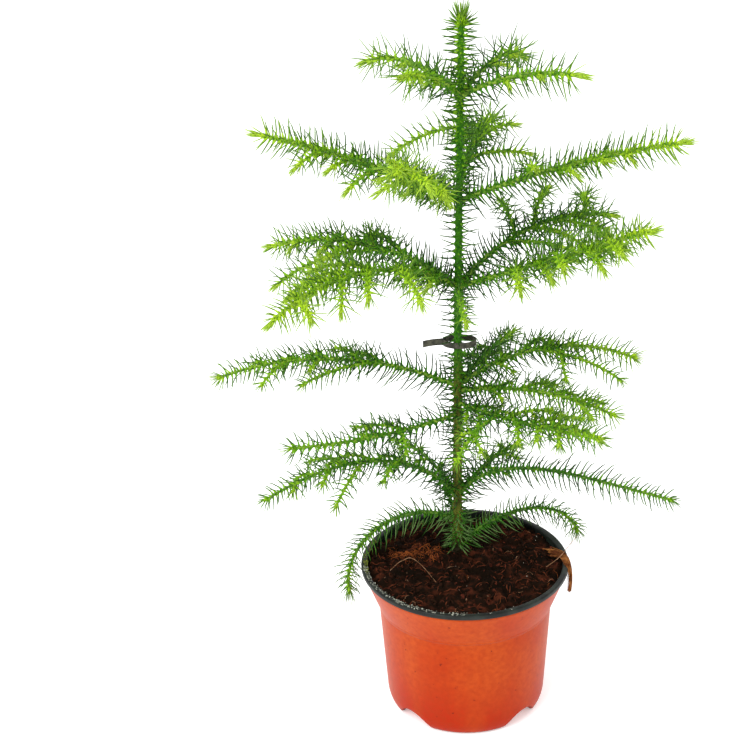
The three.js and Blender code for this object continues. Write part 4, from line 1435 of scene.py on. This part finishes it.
# %% Finer twigs
FINE_SEED = 23
FINE_BOUGHS = ("4_front_left", "4_front_right", "4_right")
FINE_FROM = 26
FINE_PAIRS = 1
FINE_SHARE = 0.36
FINE_SHORTEST = 6
FINE_CLEARANCE = 3.4
FINE_RADIUS = 0.6
INNER_BOUGHS = ("3_front_left", "4_back_right", "4_right", "4_front_right")
INNER_PAIRS = 2
INNER_LENGTH = 18
INNER_REACH = (0.06, 0.3)
TRUNK_FRESH = 0.36

fine_draw = seeded_random(FINE_SEED)
fine_twigs = []
for twig in twigs:
    if twig.owner in FINE_BOUGHS and twig.line.length >= FINE_FROM:
        length = FINE_SHARE * twig.line.length
        lines = twig_lines(twig.line, FINE_PAIRS, length, FINE_SHORTEST, fine_draw)
        fine_twigs += grown_on(twig, lines, FINE_TWIG, FINE_RADIUS, FINE_CLEARANCE)
for _, shoot in boughs:
    if shoot.owner in INNER_BOUGHS:
        lines = twig_lines(shoot.line, INNER_PAIRS, INNER_LENGTH, FINE_SHORTEST, fine_draw, *INNER_REACH)
        fine_twigs += grown_on(shoot, lines, FINE_TWIG, FINE_RADIUS, FINE_CLEARANCE, "inner")
leader = Shoot(trunk_line, "trunk", "trunk", TRUNK, 0, TRUNK_FRESH, TRUNK_RADIUS, TRUNK_TIP_RADIUS, 0)
shoots = [leader] + [shoot for _, shoot in boughs] + twigs + fine_twigs
print("grown finer:", len(fine_twigs), "side shoots; all shoots:",
      round(sum(shoot.line.length for shoot in shoots)), "mm long")

# %% [markdown]
# ## Habit of each tier
# The needles of the tiers differ. The leader's stand straight out. The top tier's are long and straight
# and its tips are still closed, like green candles. Those of the middle tiers burst open like stars,
# and lower down they shorten to the tip of each bough and hang. One table holds these habits, with the
# trunk in its first row and the tiers from the top in the others.

# %% Habit of each tier
Habit = namedtuple("Habit", "spacing inner outer closed opening root_angle tip_angle bud_angle bud_share "
                            "thickness sag")
HABITS = [
    Habit(0.60, 10.0, 10.0, 2.5, 3.5, 92, 80, 20, 0.95, 1.02, 0.0),
    Habit(0.76, 15.0, 14.0, 8.0, 2.0, 76, 62, 12, 0.36, 1.05, 0.0),
    Habit(0.56, 13.0, 13.0, 4.5, 3.2, 80, 60, 12, 0.50, 1.06, 0.0),
    Habit(0.52, 13.0, 12.0, 4.0, 3.5, 80, 56, 10, 0.52, 1.06, 0.3),
    Habit(0.66, 14.5, 10.5, 1.0, 4.0, 84, 46, 28, 0.75, 1.02, 0.5),
    Habit(0.70, 15.0, 8.0, 1.0, 4.0, 84, 44, 28, 0.75, 1.02, 0.8),
    Habit(0.52, 12.5, 9.0, 1.0, 4.0, 80, 46, 28, 0.75, 0.95, 2.4),
]
# again the trunk first, then the tiers from the top
TIP_FRESH = (0.2, 0.5, 0.5, 0.45, 0.16, 0.1, 0.05)
TIP_SHORT = (0, 0, 0, 0, 0.4, 0.4, 0.2)
TRUNK_NEEDLE_HEIGHTS = (91, 120, 150, 330, 372, 395, 414)
TRUNK_NEEDLE_LENGTHS = (7.5, 9.0, 11.0, 10.0, 10.0, 9.5, 9.5)
TWIG_NEEDLE = 9.0
TWIG_SPACING = 1.25
SPARE_BOUGHS = {"3_front": 0.62, "5_back_left": 0.7}
FRESH_NEEDLE = 5.0
FINE_NEEDLE = 0.9
OUTER_POWER = 1.5


def needle_spacing(shoot):
    """Step from needle to needle along a shoot, wider on twigs than on their bough and widest on a
    spare bough."""
    step = HABITS[shoot.tier].spacing * (TWIG_SPACING if shoot.order > BOUGH else 1)
    return step / SPARE_BOUGHS.get(shoot.owner, 1)


def needle_size(shoot, along):
    """Length of an open needle: by height on the trunk, from the inner to the outer length along a
    bough, and on twigs longer with freshness and shorter to the tip."""
    habit, share = HABITS[shoot.tier], along / shoot.line.length
    if shoot.order == TRUNK:
        height = TRUNK_FOOT[2] + share * (TRUNK_TIP[2] - TRUNK_FOOT[2])
        return np.interp(height, TRUNK_NEEDLE_HEIGHTS, TRUNK_NEEDLE_LENGTHS)
    if shoot.order == BOUGH:
        size = habit.inner + (habit.outer - habit.inner) * share**OUTER_POWER
        return size * SPARE_BOUGHS.get(shoot.owner, 1)
    size = (TWIG_NEEDLE + FRESH_NEEDLE * shoot.fresh) * (1 - TIP_SHORT[shoot.tier] * share**2)
    return size * (FINE_NEEDLE if shoot.order == FINE_TWIG else 1)


print("habits:", len(HABITS) - 1, "tiers and the trunk")

# %% [markdown]
# ## Bark
# A young shoot has no smooth skin. Each needle runs down into a small raised cushion, and the cushions
# stand in spirals a golden angle apart. Two cosine waves along two of those spirals multiply to one
# bump at every needle's foot, so relief and needles share one formula and always meet.

# %% Leaf cushions
GOLDEN_ANGLE = TURN * (1 - 1 / GOLDEN_RATIO)
CUSHION_SPIRALS = (2, 3)
BUD_LOW = {TRUNK: 5.5, BOUGH: 0.1, TWIG: 0.1, FINE_TWIG: 0.1}
BARE_LENGTH = {TRUNK: 2, BOUGH: 4.5, TWIG: 1.2, FINE_TWIG: 1}
ROOT_SWELL = 0.35
ROOT_SWELL_LENGTH = 3
# depth of the bark on the boughs of each tier, with a 0 for the trunk in front
BOUGH_BARK = (0, 0.3, 0.3, 0.3, 0.08, 0.08, 0.08)
TWIG_BARK = 0.06


def first_angle(shoot):
    """Angle of a shoot's first needle, different for each shoot."""
    return shoot.line.length * GOLDEN_ANGLE % TURN


def cushions(shoot, along, angle):
    """A bump from 0 to 1 at each needle's foot: the product of (1 + cos P) / 2 over two spirals,
    where P = m (angle - first) - wrapped(m * golden angle) * needle number at this place."""
    number = (along - BARE_LENGTH[shoot.order]) / needle_spacing(shoot) - 0.5
    bump = 1
    for arms in CUSHION_SPIRALS:
        wrapped = (arms * GOLDEN_ANGLE + np.pi) % TURN - np.pi
        phase = arms * (angle[None, :] - first_angle(shoot)) - wrapped * number[:, None]
        bump = bump * (1 + np.cos(phase)) / 2
    return bump


def shoot_radius(shoot, along):
    """A straight taper; the trunk has its flare, and a bough or twig a collar at its root that dies
    away as exp(-along / swell length)."""
    if shoot.order == TRUNK:
        return trunk_radius(np.maximum(along, 0))
    taper = shoot.root_radius + (shoot.tip_radius - shoot.root_radius) * along / shoot.line.length
    collar = ROOT_SWELL * shoot.root_radius * np.exp(-along / (ROOT_SWELL_LENGTH * shoot.root_radius))
    return taper + collar + (BOUGH_BARK[shoot.tier] if shoot.order == BOUGH else TWIG_BARK)


print("golden angle:", round(float(np.degrees(GOLDEN_ANGLE)), 1), "degrees")

# %% [markdown]
# The skins are tubes along the lines, with rows close enough to show each cushion, and they close to
# a bud at the tip. The trunk turns brown-olive down its length, with painted shade that darkens it at
# the soil under the low needles, while boughs and twigs are green, deeper in the two lowest tiers. Each
# bark is one joined piece.

# %% Skins of trunk, boughs and twigs
CUSHION_HEIGHT = 0.4
TRUNK_SINK = 3
ROW_STEP = {TRUNK: 0.5, BOUGH: 0.55, TWIG: 0.65, FINE_TWIG: 0.65}
RING_SIDES = {TRUNK: 24, BOUGH: 10, TWIG: 8, FINE_TWIG: 8}
BARK_MOTTLE = 420.0
PINCH_LENGTH = 1.5
LEAST_PINCH = 0.01


def shoot_skin(shoot):
    """A tube whose radius is the taper raised by the cushions, pinched to a bud at the tip."""
    length, end = shoot.line.length, shoot.line.length - BUD_LOW[shoot.order]
    start = -TRUNK_SINK if shoot.order == TRUNK else 0
    along = np.linspace(start, end, int((end - start) / ROW_STEP[shoot.order]) + 2)
    angle = TURN * np.arange(RING_SIDES[shoot.order]) / RING_SIDES[shoot.order]
    place, tangent, side = shoot.line.at(along / length)
    radius = shoot_radius(shoot, along)[:, None] * (1 + CUSHION_HEIGHT * cushions(shoot, along, angle))
    pinch = np.sqrt(np.clip((end - along) / PINCH_LENGTH, LEAST_PINCH, 1))[:, None]
    return tube(place, side, np.cross(tangent, side), radius * pinch)


def trunk_bark():
    """Green above, turning brown-olive down the trunk by height, streaked along it, and darkened at the
    soil by painted shade under the low needles."""
    finish = Finish("trunk_bark", roughness=0.7, specular=0.12)
    green = finish.group(MOTTLE, Scale=260.0, Low=0.35, High=0.65,
                         First=linear(26, 78, 6), Second=linear(58, 116, 10))
    brown = finish.group(MOTTLE, vector=finish.stretched((1, 1, 0.3)), Scale=BARK_MOTTLE,
                         Low=0.35, High=0.65, First=linear(48, 52, 14), Second=linear(98, 106, 32))
    # painted shade: the trunk's foot is darkened where the low needles hang over it
    above_foot_shade = finish.by_height(low=91, high=104)
    low = finish.mixed(above_foot_shade, linear(30, 24, 9), brown.outputs["Color"])
    young_part = finish.by_height(low=190, high=226)
    finish.colour(finish.mixed(young_part, low, green.outputs["Color"]))
    finish.grain(scale=900.0, strength=0.4)
    return finish.material


green_bark = mottled("green_bark", linear(60, 116, 10), linear(136, 166, 58), BARK_MOTTLE, 0.6, 0.15)
deep_bark = mottled("deep_bark", linear(40, 90, 14), linear(98, 134, 44), BARK_MOTTLE, 0.6, 0.15)
twig_bark = mottled("twig_bark", linear(80, 132, 12), linear(142, 172, 50), BARK_MOTTLE, 0.6, 0.15)
new_piece("trunk_skin", *shoot_skin(leader), trunk_bark(), "bark", ["trunk"])
bough_barks = [("bough_skin", (1, 2, 3, 4), green_bark), ("bough_skin_low", (5, 6), deep_bark)]
for name, tiers, bark in bough_barks:
    chosen = [shoot for _, shoot in boughs if shoot.tier in tiers]
    nodes = [f"bough_{shoot.owner}" for shoot in chosen]
    new_piece(name, *joined([shoot_skin(shoot) for shoot in chosen]), bark, "bark", nodes)
new_piece("twig_skin", *joined([shoot_skin(shoot) for shoot in twigs + fine_twigs]), twig_bark,
          "needles", SPRAYS)

# %% [markdown]
# ## Needles
# A needle is a curved awl: it stands off the shoot, bends forward to the tip and ends in a point. It
# could be a scattered instance, but the export keeps only meshes. So one formula places them all: a
# golden-angle spiral up every shoot, opening from a closed bud at the tip to a wide brush below.

# %% Where needles stand
NEEDLE_VARIATION = 0.13
NEEDLE_SINK = 0.15
SPIRAL_JITTER = 0.12
LEAST_OPENING = 0.12
BUD_JITTER = 0.4
BUD_WIDTH = 0.6
BUD_TURN = 5
BUD_REACH = 0.45
BUD_NEEDLES = {TRUNK: 78, BOUGH: 13, TWIG: 7, FINE_TWIG: 5}
BUD_CROWD = 2.2
BUD_DEPTH = {TRUNK: 2.6, BOUGH: 2.2, TWIG: 2.0, FINE_TWIG: 1.6}
ANGLE_SPREAD = 7
FOOT_SAG = 3.5
FOOT_SAG_HEIGHT = 16
SAG_VARIATION = (0.5, 1.5)
# from where to where along the trunk, and how many more
MORE_NEEDLES = [(1.5, 25, 80), (68, 124, 60), (236, 314, 100)]
# needles by the trunk's foot and near the trunk in the lowest tier, painted pale as painted light
PALE_SHARE = 0.6
PALE_TIER = 6
PALE_REACH = 0.45
PALE_FOOT = 26
PALE = -1.0
FRESH_AT_ROOT = 0.16
FRESH_POWER = 1.3
SHOOT_LUCK = 0.04
NEEDLE_LUCK = 0.06
NEEDLE_SEED = 5
needle_random = np.random.default_rng(NEEDLE_SEED)
Needles = namedtuple("Needles", "foot tangent outward length root_angle tip_angle fresh width sag")


def needle_places(shoot):
    """Needle k stands spacing * k along the shoot. Some more are crowded into the closed tip and
    along three stretches of the trunk."""
    habit, length, bare = HABITS[shoot.tier], shoot.line.length, BARE_LENGTH[shoot.order]
    closed = min(habit.closed, BUD_REACH * length)
    spacing = needle_spacing(shoot)
    count = max(2, int((length - bare) / spacing))
    crowd = int(BUD_NEEDLES[shoot.order] + BUD_CROWD * closed)
    open_part = bare + spacing * (np.arange(count) + 0.5)
    top = length - BUD_LOW[shoot.order]
    bud_part = top - (BUD_DEPTH[shoot.order] + closed) * (1 - np.arange(crowd) / crowd)
    more = [np.linspace(*stretch) for stretch in MORE_NEEDLES if shoot.order == TRUNK]
    return np.clip(np.concatenate([open_part[open_part < top], bud_part, *more]), 0, top), closed


def needles_of(shoot):
    """All needles of a shoot, each a golden angle further round. How far one is open goes by its
    distance from the closed tip."""
    habit, length = HABITS[shoot.tier], shoot.line.length
    along, closed = needle_places(shoot)
    total = len(along)
    place, tangent, side = shoot.line.at(along / length)
    angle = first_angle(shoot) + GOLDEN_ANGLE * np.arange(total)
    angle = angle + needle_random.normal(0, SPIRAL_JITTER, total)
    outward = np.cos(angle)[:, None] * side + np.sin(angle)[:, None] * np.cross(tangent, side)
    below_tip = length - BUD_LOW[shoot.order] - along - closed
    opened = smoothstep(below_tip / habit.opening + LEAST_OPENING)
    jitter = needle_random.normal(0, ANGLE_SPREAD, (2, total)) * (BUD_JITTER + (1 - BUD_JITTER) * opened)
    root_angle = habit.bud_angle + (habit.root_angle - habit.bud_angle) * opened + jitter[0]
    bud_tip = habit.bud_angle - BUD_TURN
    tip_angle = bud_tip + (habit.tip_angle - bud_tip) * opened + jitter[1]
    size = needle_size(shoot, along) * (habit.bud_share + (1 - habit.bud_share) * opened)
    size = size * (1 + NEEDLE_VARIATION * needle_random.normal(0, 1, total))
    width = habit.thickness * (BUD_WIDTH + (1 - BUD_WIDTH) * opened)
    foot_sag = FOOT_SAG * np.exp(-along / FOOT_SAG_HEIGHT) if shoot.order == TRUNK else 0
    sag = (habit.sag + foot_sag) * needle_random.uniform(*SAG_VARIATION, total)
    foot = place + (shoot_radius(shoot, along) - NEEDLE_SINK)[:, None] * outward
    angles = np.radians([root_angle, tip_angle])
    return Needles(foot, tangent, outward, size, *angles, freshness(shoot, along, opened), width, sag)


def freshness(shoot, along, opened):
    """How young a needle is: the bough's own share times a value that grows along it from a sixth to
    1, with a twig going on from where it stands, and the closed tip is younger still. Most needles
    low by the trunk's foot, under the boughs, are marked pale instead: painted light, a paler grey-green
    for the front light that catches them over the dark soil."""
    reach = shoot.place + (1 - shoot.place) * along / shoot.line.length
    luck = needle_random.normal(0, SHOOT_LUCK) + needle_random.normal(0, NEEDLE_LUCK, len(along))
    along_bough = FRESH_AT_ROOT + (1 - FRESH_AT_ROOT) * reach**FRESH_POWER
    age = shoot.fresh * along_bough + TIP_FRESH[shoot.tier] * (1 - opened) + luck
    # painted light: these low needles get the pale green for the front light that catches them
    in_shade = (shoot.tier == PALE_TIER) & (reach < PALE_REACH)
    shaded = along < PALE_FOOT if shoot.order == TRUNK else in_shade
    return np.where(shaded & (needle_random.random(len(along)) < PALE_SHARE), PALE, age)


grown = [needles_of(shoot) for shoot in shoots]
needles = Needles(*[np.concatenate(column) for column in zip(*grown)])
print("needles:", len(needles.length), "on", len(shoots), "shoots")

# %% [markdown]
# A needle's centre line turns evenly from its root angle to its tip angle. One needle could be bent by
# a modifier, but such an arc has a closed formula, which gives all of them at once, and old needles
# sag a little. Its section is a diamond, deeper than wide, broad at the foot, that runs to a point.

# %% A needle's line and section
LEAST_BEND = 0.02
NEEDLE_DEPTH = 0.38
NEEDLE_WIDTH = 0.34
NEEDLE_TAPER = 4
FOOT_FLARE = 1.3
FOOT_FLARE_SHARE = 0.26


def needle_line(needle, share):
    """The integral of (cos a, sin a) along the needle while a goes evenly from root to tip angle:
    forward = (sin a - sin a0) / (a1 - a0), outward = (cos a0 - cos a) / (a1 - a0). The point sags
    by the square of the share."""
    bend = needle.tip_angle - needle.root_angle
    bend = np.where(np.abs(bend) < LEAST_BEND, LEAST_BEND, bend)[:, None]
    start = needle.root_angle[:, None]
    angle = start + bend * share
    size = needle.length[:, None] / bend
    forward = size * (np.sin(angle) - np.sin(start))
    outward = size * (np.cos(start) - np.cos(angle))
    line = needle.foot[:, None] + forward[..., None] * needle.tangent[:, None]
    line = line + outward[..., None] * needle.outward[:, None]
    line[..., 2] -= needle.sag[:, None] * share**2
    return line, angle


def needle_rings(needle, share):
    """A diamond across the needle at each share s of its length: 1 - s^taper, widened at the foot by
    flare * (1 - s / flare share) squared."""
    line, angle = needle_line(needle, share[None, :])
    depth_way = (-np.sin(angle)[..., None] * needle.tangent[:, None]
                 + np.cos(angle)[..., None] * needle.outward[:, None])
    across = np.cross(needle.tangent, needle.outward)[:, None]
    flare = FOOT_FLARE * np.clip(1 - share / FOOT_FLARE_SHARE, 0, 1) ** 2
    taper = ((1 - share**NEEDLE_TAPER) * (1 + flare))[None, :, None] * needle.width[:, None, None]
    deep, wide = NEEDLE_DEPTH * taper * depth_way, NEEDLE_WIDTH * taper * across
    return line[:, :, None] + np.stack([deep, wide, -deep, -wide], axis=2)


print("needle section:", 2 * NEEDLE_DEPTH, "mm deep and", 2 * NEEDLE_WIDTH, "mm wide")

# %% [markdown]
# The outer part of a needle is mostly a darker green on the real plant. A pattern on such small faces
# would be lost, so foot and point are two closed shapes that overlap, each of one plain green. Each
# has only a few rings, which keeps so many needles light.

# %% Feet and points of the needles
DIAMOND = 4
FOOT_RINGS = np.array([0, 0.1, 0.26])
POINT_RINGS = np.array([0.24, 0.68])


def picked(needle, chosen):
    """Some of the needles, by number or mask."""
    return Needles(*[column[chosen] for column in needle])


def needle_feet(needle):
    """The inner part of each needle: diamond rings, closed by a quad at both ends."""
    rings = needle_rings(needle, FOOT_RINGS)
    last = DIAMOND * (len(FOOT_RINGS) - 1)
    ends = [(3, 2, 1, 0), (last, last + 1, last + 2, last + 3)]
    quads = np.vstack([grid_quads(len(FOOT_RINGS), DIAMOND), ends])
    shift = DIAMOND * len(FOOT_RINGS) * np.arange(len(rings))[:, None, None]
    return rings.reshape(-1, 3), [(quads + shift).reshape(-1, 4)]


def needle_points(needle):
    """The outer part of each needle: diamond rings and a point, closed by a quad inside the foot."""
    rings = needle_rings(needle, POINT_RINGS)
    tips, _ = needle_line(needle, np.ones((1, 1)))
    count, last = len(rings), DIAMOND * (len(POINT_RINGS) - 1)
    points = np.concatenate([rings.reshape(count, -1, 3), tips], axis=1)
    quads = np.vstack([grid_quads(len(POINT_RINGS), DIAMOND), [(3, 2, 1, 0)]])
    fans = np.array([(last + k, last + (k + 1) % DIAMOND, last + DIAMOND) for k in range(DIAMOND)])
    shift = points.shape[1] * np.arange(count)[:, None, None]
    return points.reshape(-1, 3), [(quads + shift).reshape(-1, 4), (fans + shift).reshape(-1, 3)]


one_needle = picked(needles, slice(0, 1))
print("one needle:", len(needle_feet(one_needle)[0]) + len(needle_points(one_needle)[0]), "points")

# %% [markdown]
# On the plant no needle grows through the soil, the pot or the tie: it bends aside or is rubbed off.
# Here a needle whose point would dip into the soil sags less. One that still meets something at any
# of a few places along it is left off, which costs less than bending each aside.

# %% Needles kept clear
POINT_REST = 0.4
LIP_INSIDE = 1
LIP_OUTSIDE = 0.3
WALL_OUTSIDE = 0.4
LOOP_SHIFT = (0, 3, 0)
LOOP_REACH = (12, 8, TIE_BAND)
TEST_SHARES = np.array([[0.35, 0.7, 1.0]])


def ground_below(points):
    """The soil's height below points, which are held inside the square round the soil."""
    held = np.clip(points[:, :2], -SOIL_RADIUS, SOIL_RADIUS)
    return soil_height(held[:, 0], held[:, 1])


def in_the_way(points):
    """True for points in the soil, in the pot's wall and lip, or in the tie's loop."""
    away, height = np.hypot(points[:, 0], points[:, 1]), points[:, 2]
    in_soil = (away < SOIL_RADIUS) & (height < ground_below(points))
    in_lip = (away > SOIL_RADIUS - LIP_INSIDE) & (away < RIM_RADIUS + LIP_OUTSIDE)
    in_lip &= np.abs(height - LIP_BOTTOM) < LIP_HEIGHT
    in_wall = (away < outer_radius(height) + WALL_OUTSIDE) & (height < LIP_BOTTOM) & (height > 0)
    off_tie = np.abs(points - tie_centre - LOOP_SHIFT) / LOOP_REACH
    return in_soil | in_lip | in_wall | (off_tie < 1).all(axis=1)


def resting(needle):
    """A needle whose point would dip into the soil sags less, by as much as it would dip."""
    tips = needle_line(needle, np.ones((1, 1)))[0][:, 0]
    dip = ground_below(tips) + POINT_REST - tips[:, 2]
    over_soil = np.hypot(tips[:, 0], tips[:, 1]) < SOIL_RADIUS
    return needle._replace(sag=needle.sag - np.where(over_soil, np.maximum(0, dip), 0))


needles = resting(needles)
reach, _ = needle_line(needles, TEST_SHARES)
blocked = in_the_way(reach.reshape(-1, 3)).reshape(len(reach), -1).any(axis=1)
needles = picked(needles, ~blocked)
print("needles left off near soil, pot and tie:", int(blocked.sum()))

# %% [markdown]
# Old needles are dark green and young ones lime, and the eye reads the tiers by that. The needles are
# dealt out by age into seven greens, with an eighth, paler and greyer, for low needles by the trunk's
# foot: painted light, where the front light catches them over the dark soil. Each green has a plain
# colour for the feet and another, mostly darker one for the points, set straight on the shader, and
# each of them is a mesh of its own.

# %% Needle greens
# name, freshness that it goes up to, green of the feet and green of the points
GREENS = [
    # pale: painted light, the front light catching low needles over the dark soil
    ("pale", -0.5, linear(70, 122, 40), linear(92, 122, 66)),
    ("deep", 0.12, linear(52, 108, 18), linear(41, 74, 25)),
    ("moss", 0.20, linear(70, 129, 20), linear(52, 90, 30)),
    ("leaf", 0.30, linear(97, 151, 24), linear(66, 106, 34)),
    ("bright", 0.42, linear(121, 169, 28), linear(81, 122, 38)),
    ("young", 0.56, linear(145, 186, 36), linear(104, 144, 44)),
    ("fresh", 0.74, linear(162, 197, 40), linear(131, 164, 52)),
    ("lime", np.inf, linear(170, 202, 54), linear(156, 190, 60)),
]
MOST_NEEDLES = 8000
NEEDLE_ROUGHNESS = 0.55
NEEDLE_GLOSS = 0.08


def plain(name, colour):
    """A needle's plain finish: one colour, half matt."""
    finish = Finish(name, NEEDLE_ROUGHNESS, NEEDLE_GLOSS)
    finish.colour(colour)
    return finish.material


youngest = -np.inf
for name, limit, foot_green, point_green in GREENS:
    chosen = np.flatnonzero((needles.fresh >= youngest) & (needles.fresh < limit))
    youngest = limit
    foot_paint = plain(f"needle_{name}", foot_green)
    point_paint = plain(f"needle_{name}_point", point_green)
    for number, part in enumerate(np.array_split(chosen, len(chosen) // MOST_NEEDLES + 1), start=1):
        some = picked(needles, part)
        new_piece(f"needles_{name}_{number}", *needle_feet(some), foot_paint, "needles", SPRAYS)
        new_piece(f"needle_points_{name}_{number}", *needle_points(some), point_paint, "needles", SPRAYS)

# %% [markdown]
# ## The tie
# A soft ribbed band holds the trunk: it comes from its tail, passes in front of the trunk, turns back
# round the right end of the loop and returns behind to lie on its own tail. One path with a flat
# section carried along it makes the whole band, so both layers of the tail are there.

# %% Tie
TIE_THICKNESS = 0.9
TIE_WIDTH = 3.7
TIE_HALF_WIDTH = 9.5
TIE_HALF_DEPTH = 6.4
TIE_SIDE_SHIFT = 1
TIE_RAISE = 1.4
TIE_TAIL = 11
TIE_DROOP = 0.012
TIE_GAP = 0.3
TIE_RIBS = 7
RIB_DEPTH = 0.1
EDGE_POWER = 12
LOOP_OPENING = 0.12
LOOP_STEPS = 97
TAIL_JOIN = 0.8
TAIL_STEPS = 14
SECTION_STEPS = 22


def tie_path():
    """Along the tail, round an ellipse from its left end to its left end, and back along the tail."""
    half = TIE_THICKNESS / 2
    angle = np.linspace(np.pi + LOOP_OPENING, 3 * np.pi - LOOP_OPENING, LOOP_STEPS)
    along, aside = TIE_HALF_WIDTH - half, TIE_HALF_DEPTH - half
    loop = np.column_stack([along * np.cos(angle), aside * np.sin(angle)])
    tail = np.linspace(-TIE_HALF_WIDTH - TIE_TAIL, -TIE_HALF_WIDTH - TAIL_JOIN, TAIL_STEPS)
    out = np.column_stack([tail, np.full_like(tail, -half)])
    back = np.column_stack([tail, np.full_like(tail, half)])[::-1]
    return np.vstack([out, loop, back])


def tie_band():
    """A flat section, its faces waved by cos(ribs * height) and its edges rounded by
    sqrt(1 - height^power), carried along the path. The tail droops by the square of its distance
    from the loop."""
    path = tie_path()
    ahead = unit(np.gradient(path, axis=0))
    across = np.column_stack([ahead[:, 1], -ahead[:, 0]])
    height = np.linspace(-1, 1, SECTION_STEPS)
    ribs = 1 - RIB_DEPTH + RIB_DEPTH * np.cos(np.pi * TIE_RIBS * height)
    wave = TIE_THICKNESS / 2 * ribs * (1 - height**EDGE_POWER) ** 0.5
    depth = np.concatenate([wave, -wave[::-1]])
    level = TIE_WIDTH / 2 * np.concatenate([height, height[::-1]])
    drop = TIE_DROOP * np.minimum(0, path[:, 0] + TIE_HALF_WIDTH) ** 2
    grid = np.empty((len(path), len(depth), 3))
    grid[..., :2] = path[:, None] + depth[None, :, None] * across[:, None]
    grid[..., 2] = level - drop[:, None]
    ends = np.column_stack([path[[0, -1]], -drop[[0, -1]]])
    points = np.vstack([grid.reshape(-1, 3), ends])
    return points, closed_faces(*grid.shape[:2])


def tie_in_place(points):
    """Set at its height so that the loop's front runs just before the trunk."""
    seat = trunk_radius(TIE_HEIGHT - TRUNK_FOOT[2]) + TIE_GAP
    return points + tie_centre + (TIE_SIDE_SHIFT, TIE_HALF_DEPTH - TIE_THICKNESS - seat, TIE_RAISE)


tie_points, tie_faces = tie_band()
tie_rubber = mottled("tie_rubber", linear(46, 46, 38), linear(76, 75, 62), 300.0, 0.7, grain=(1500, 0.4))
new_piece("tie_band", tie_in_place(tie_points), tie_faces, tie_rubber, "tie", ["tie"])

# %% [markdown]
# ## Size
# The finished plant's size is printed next to that of its solids. The finished plant
# has to stay the size of its solids.

# %% Size and finish
low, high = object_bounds()
sizes = {"cad": [list(cad_low), list(cad_high)], "visual": [list(low), list(high)]}
print("size:", sizes)
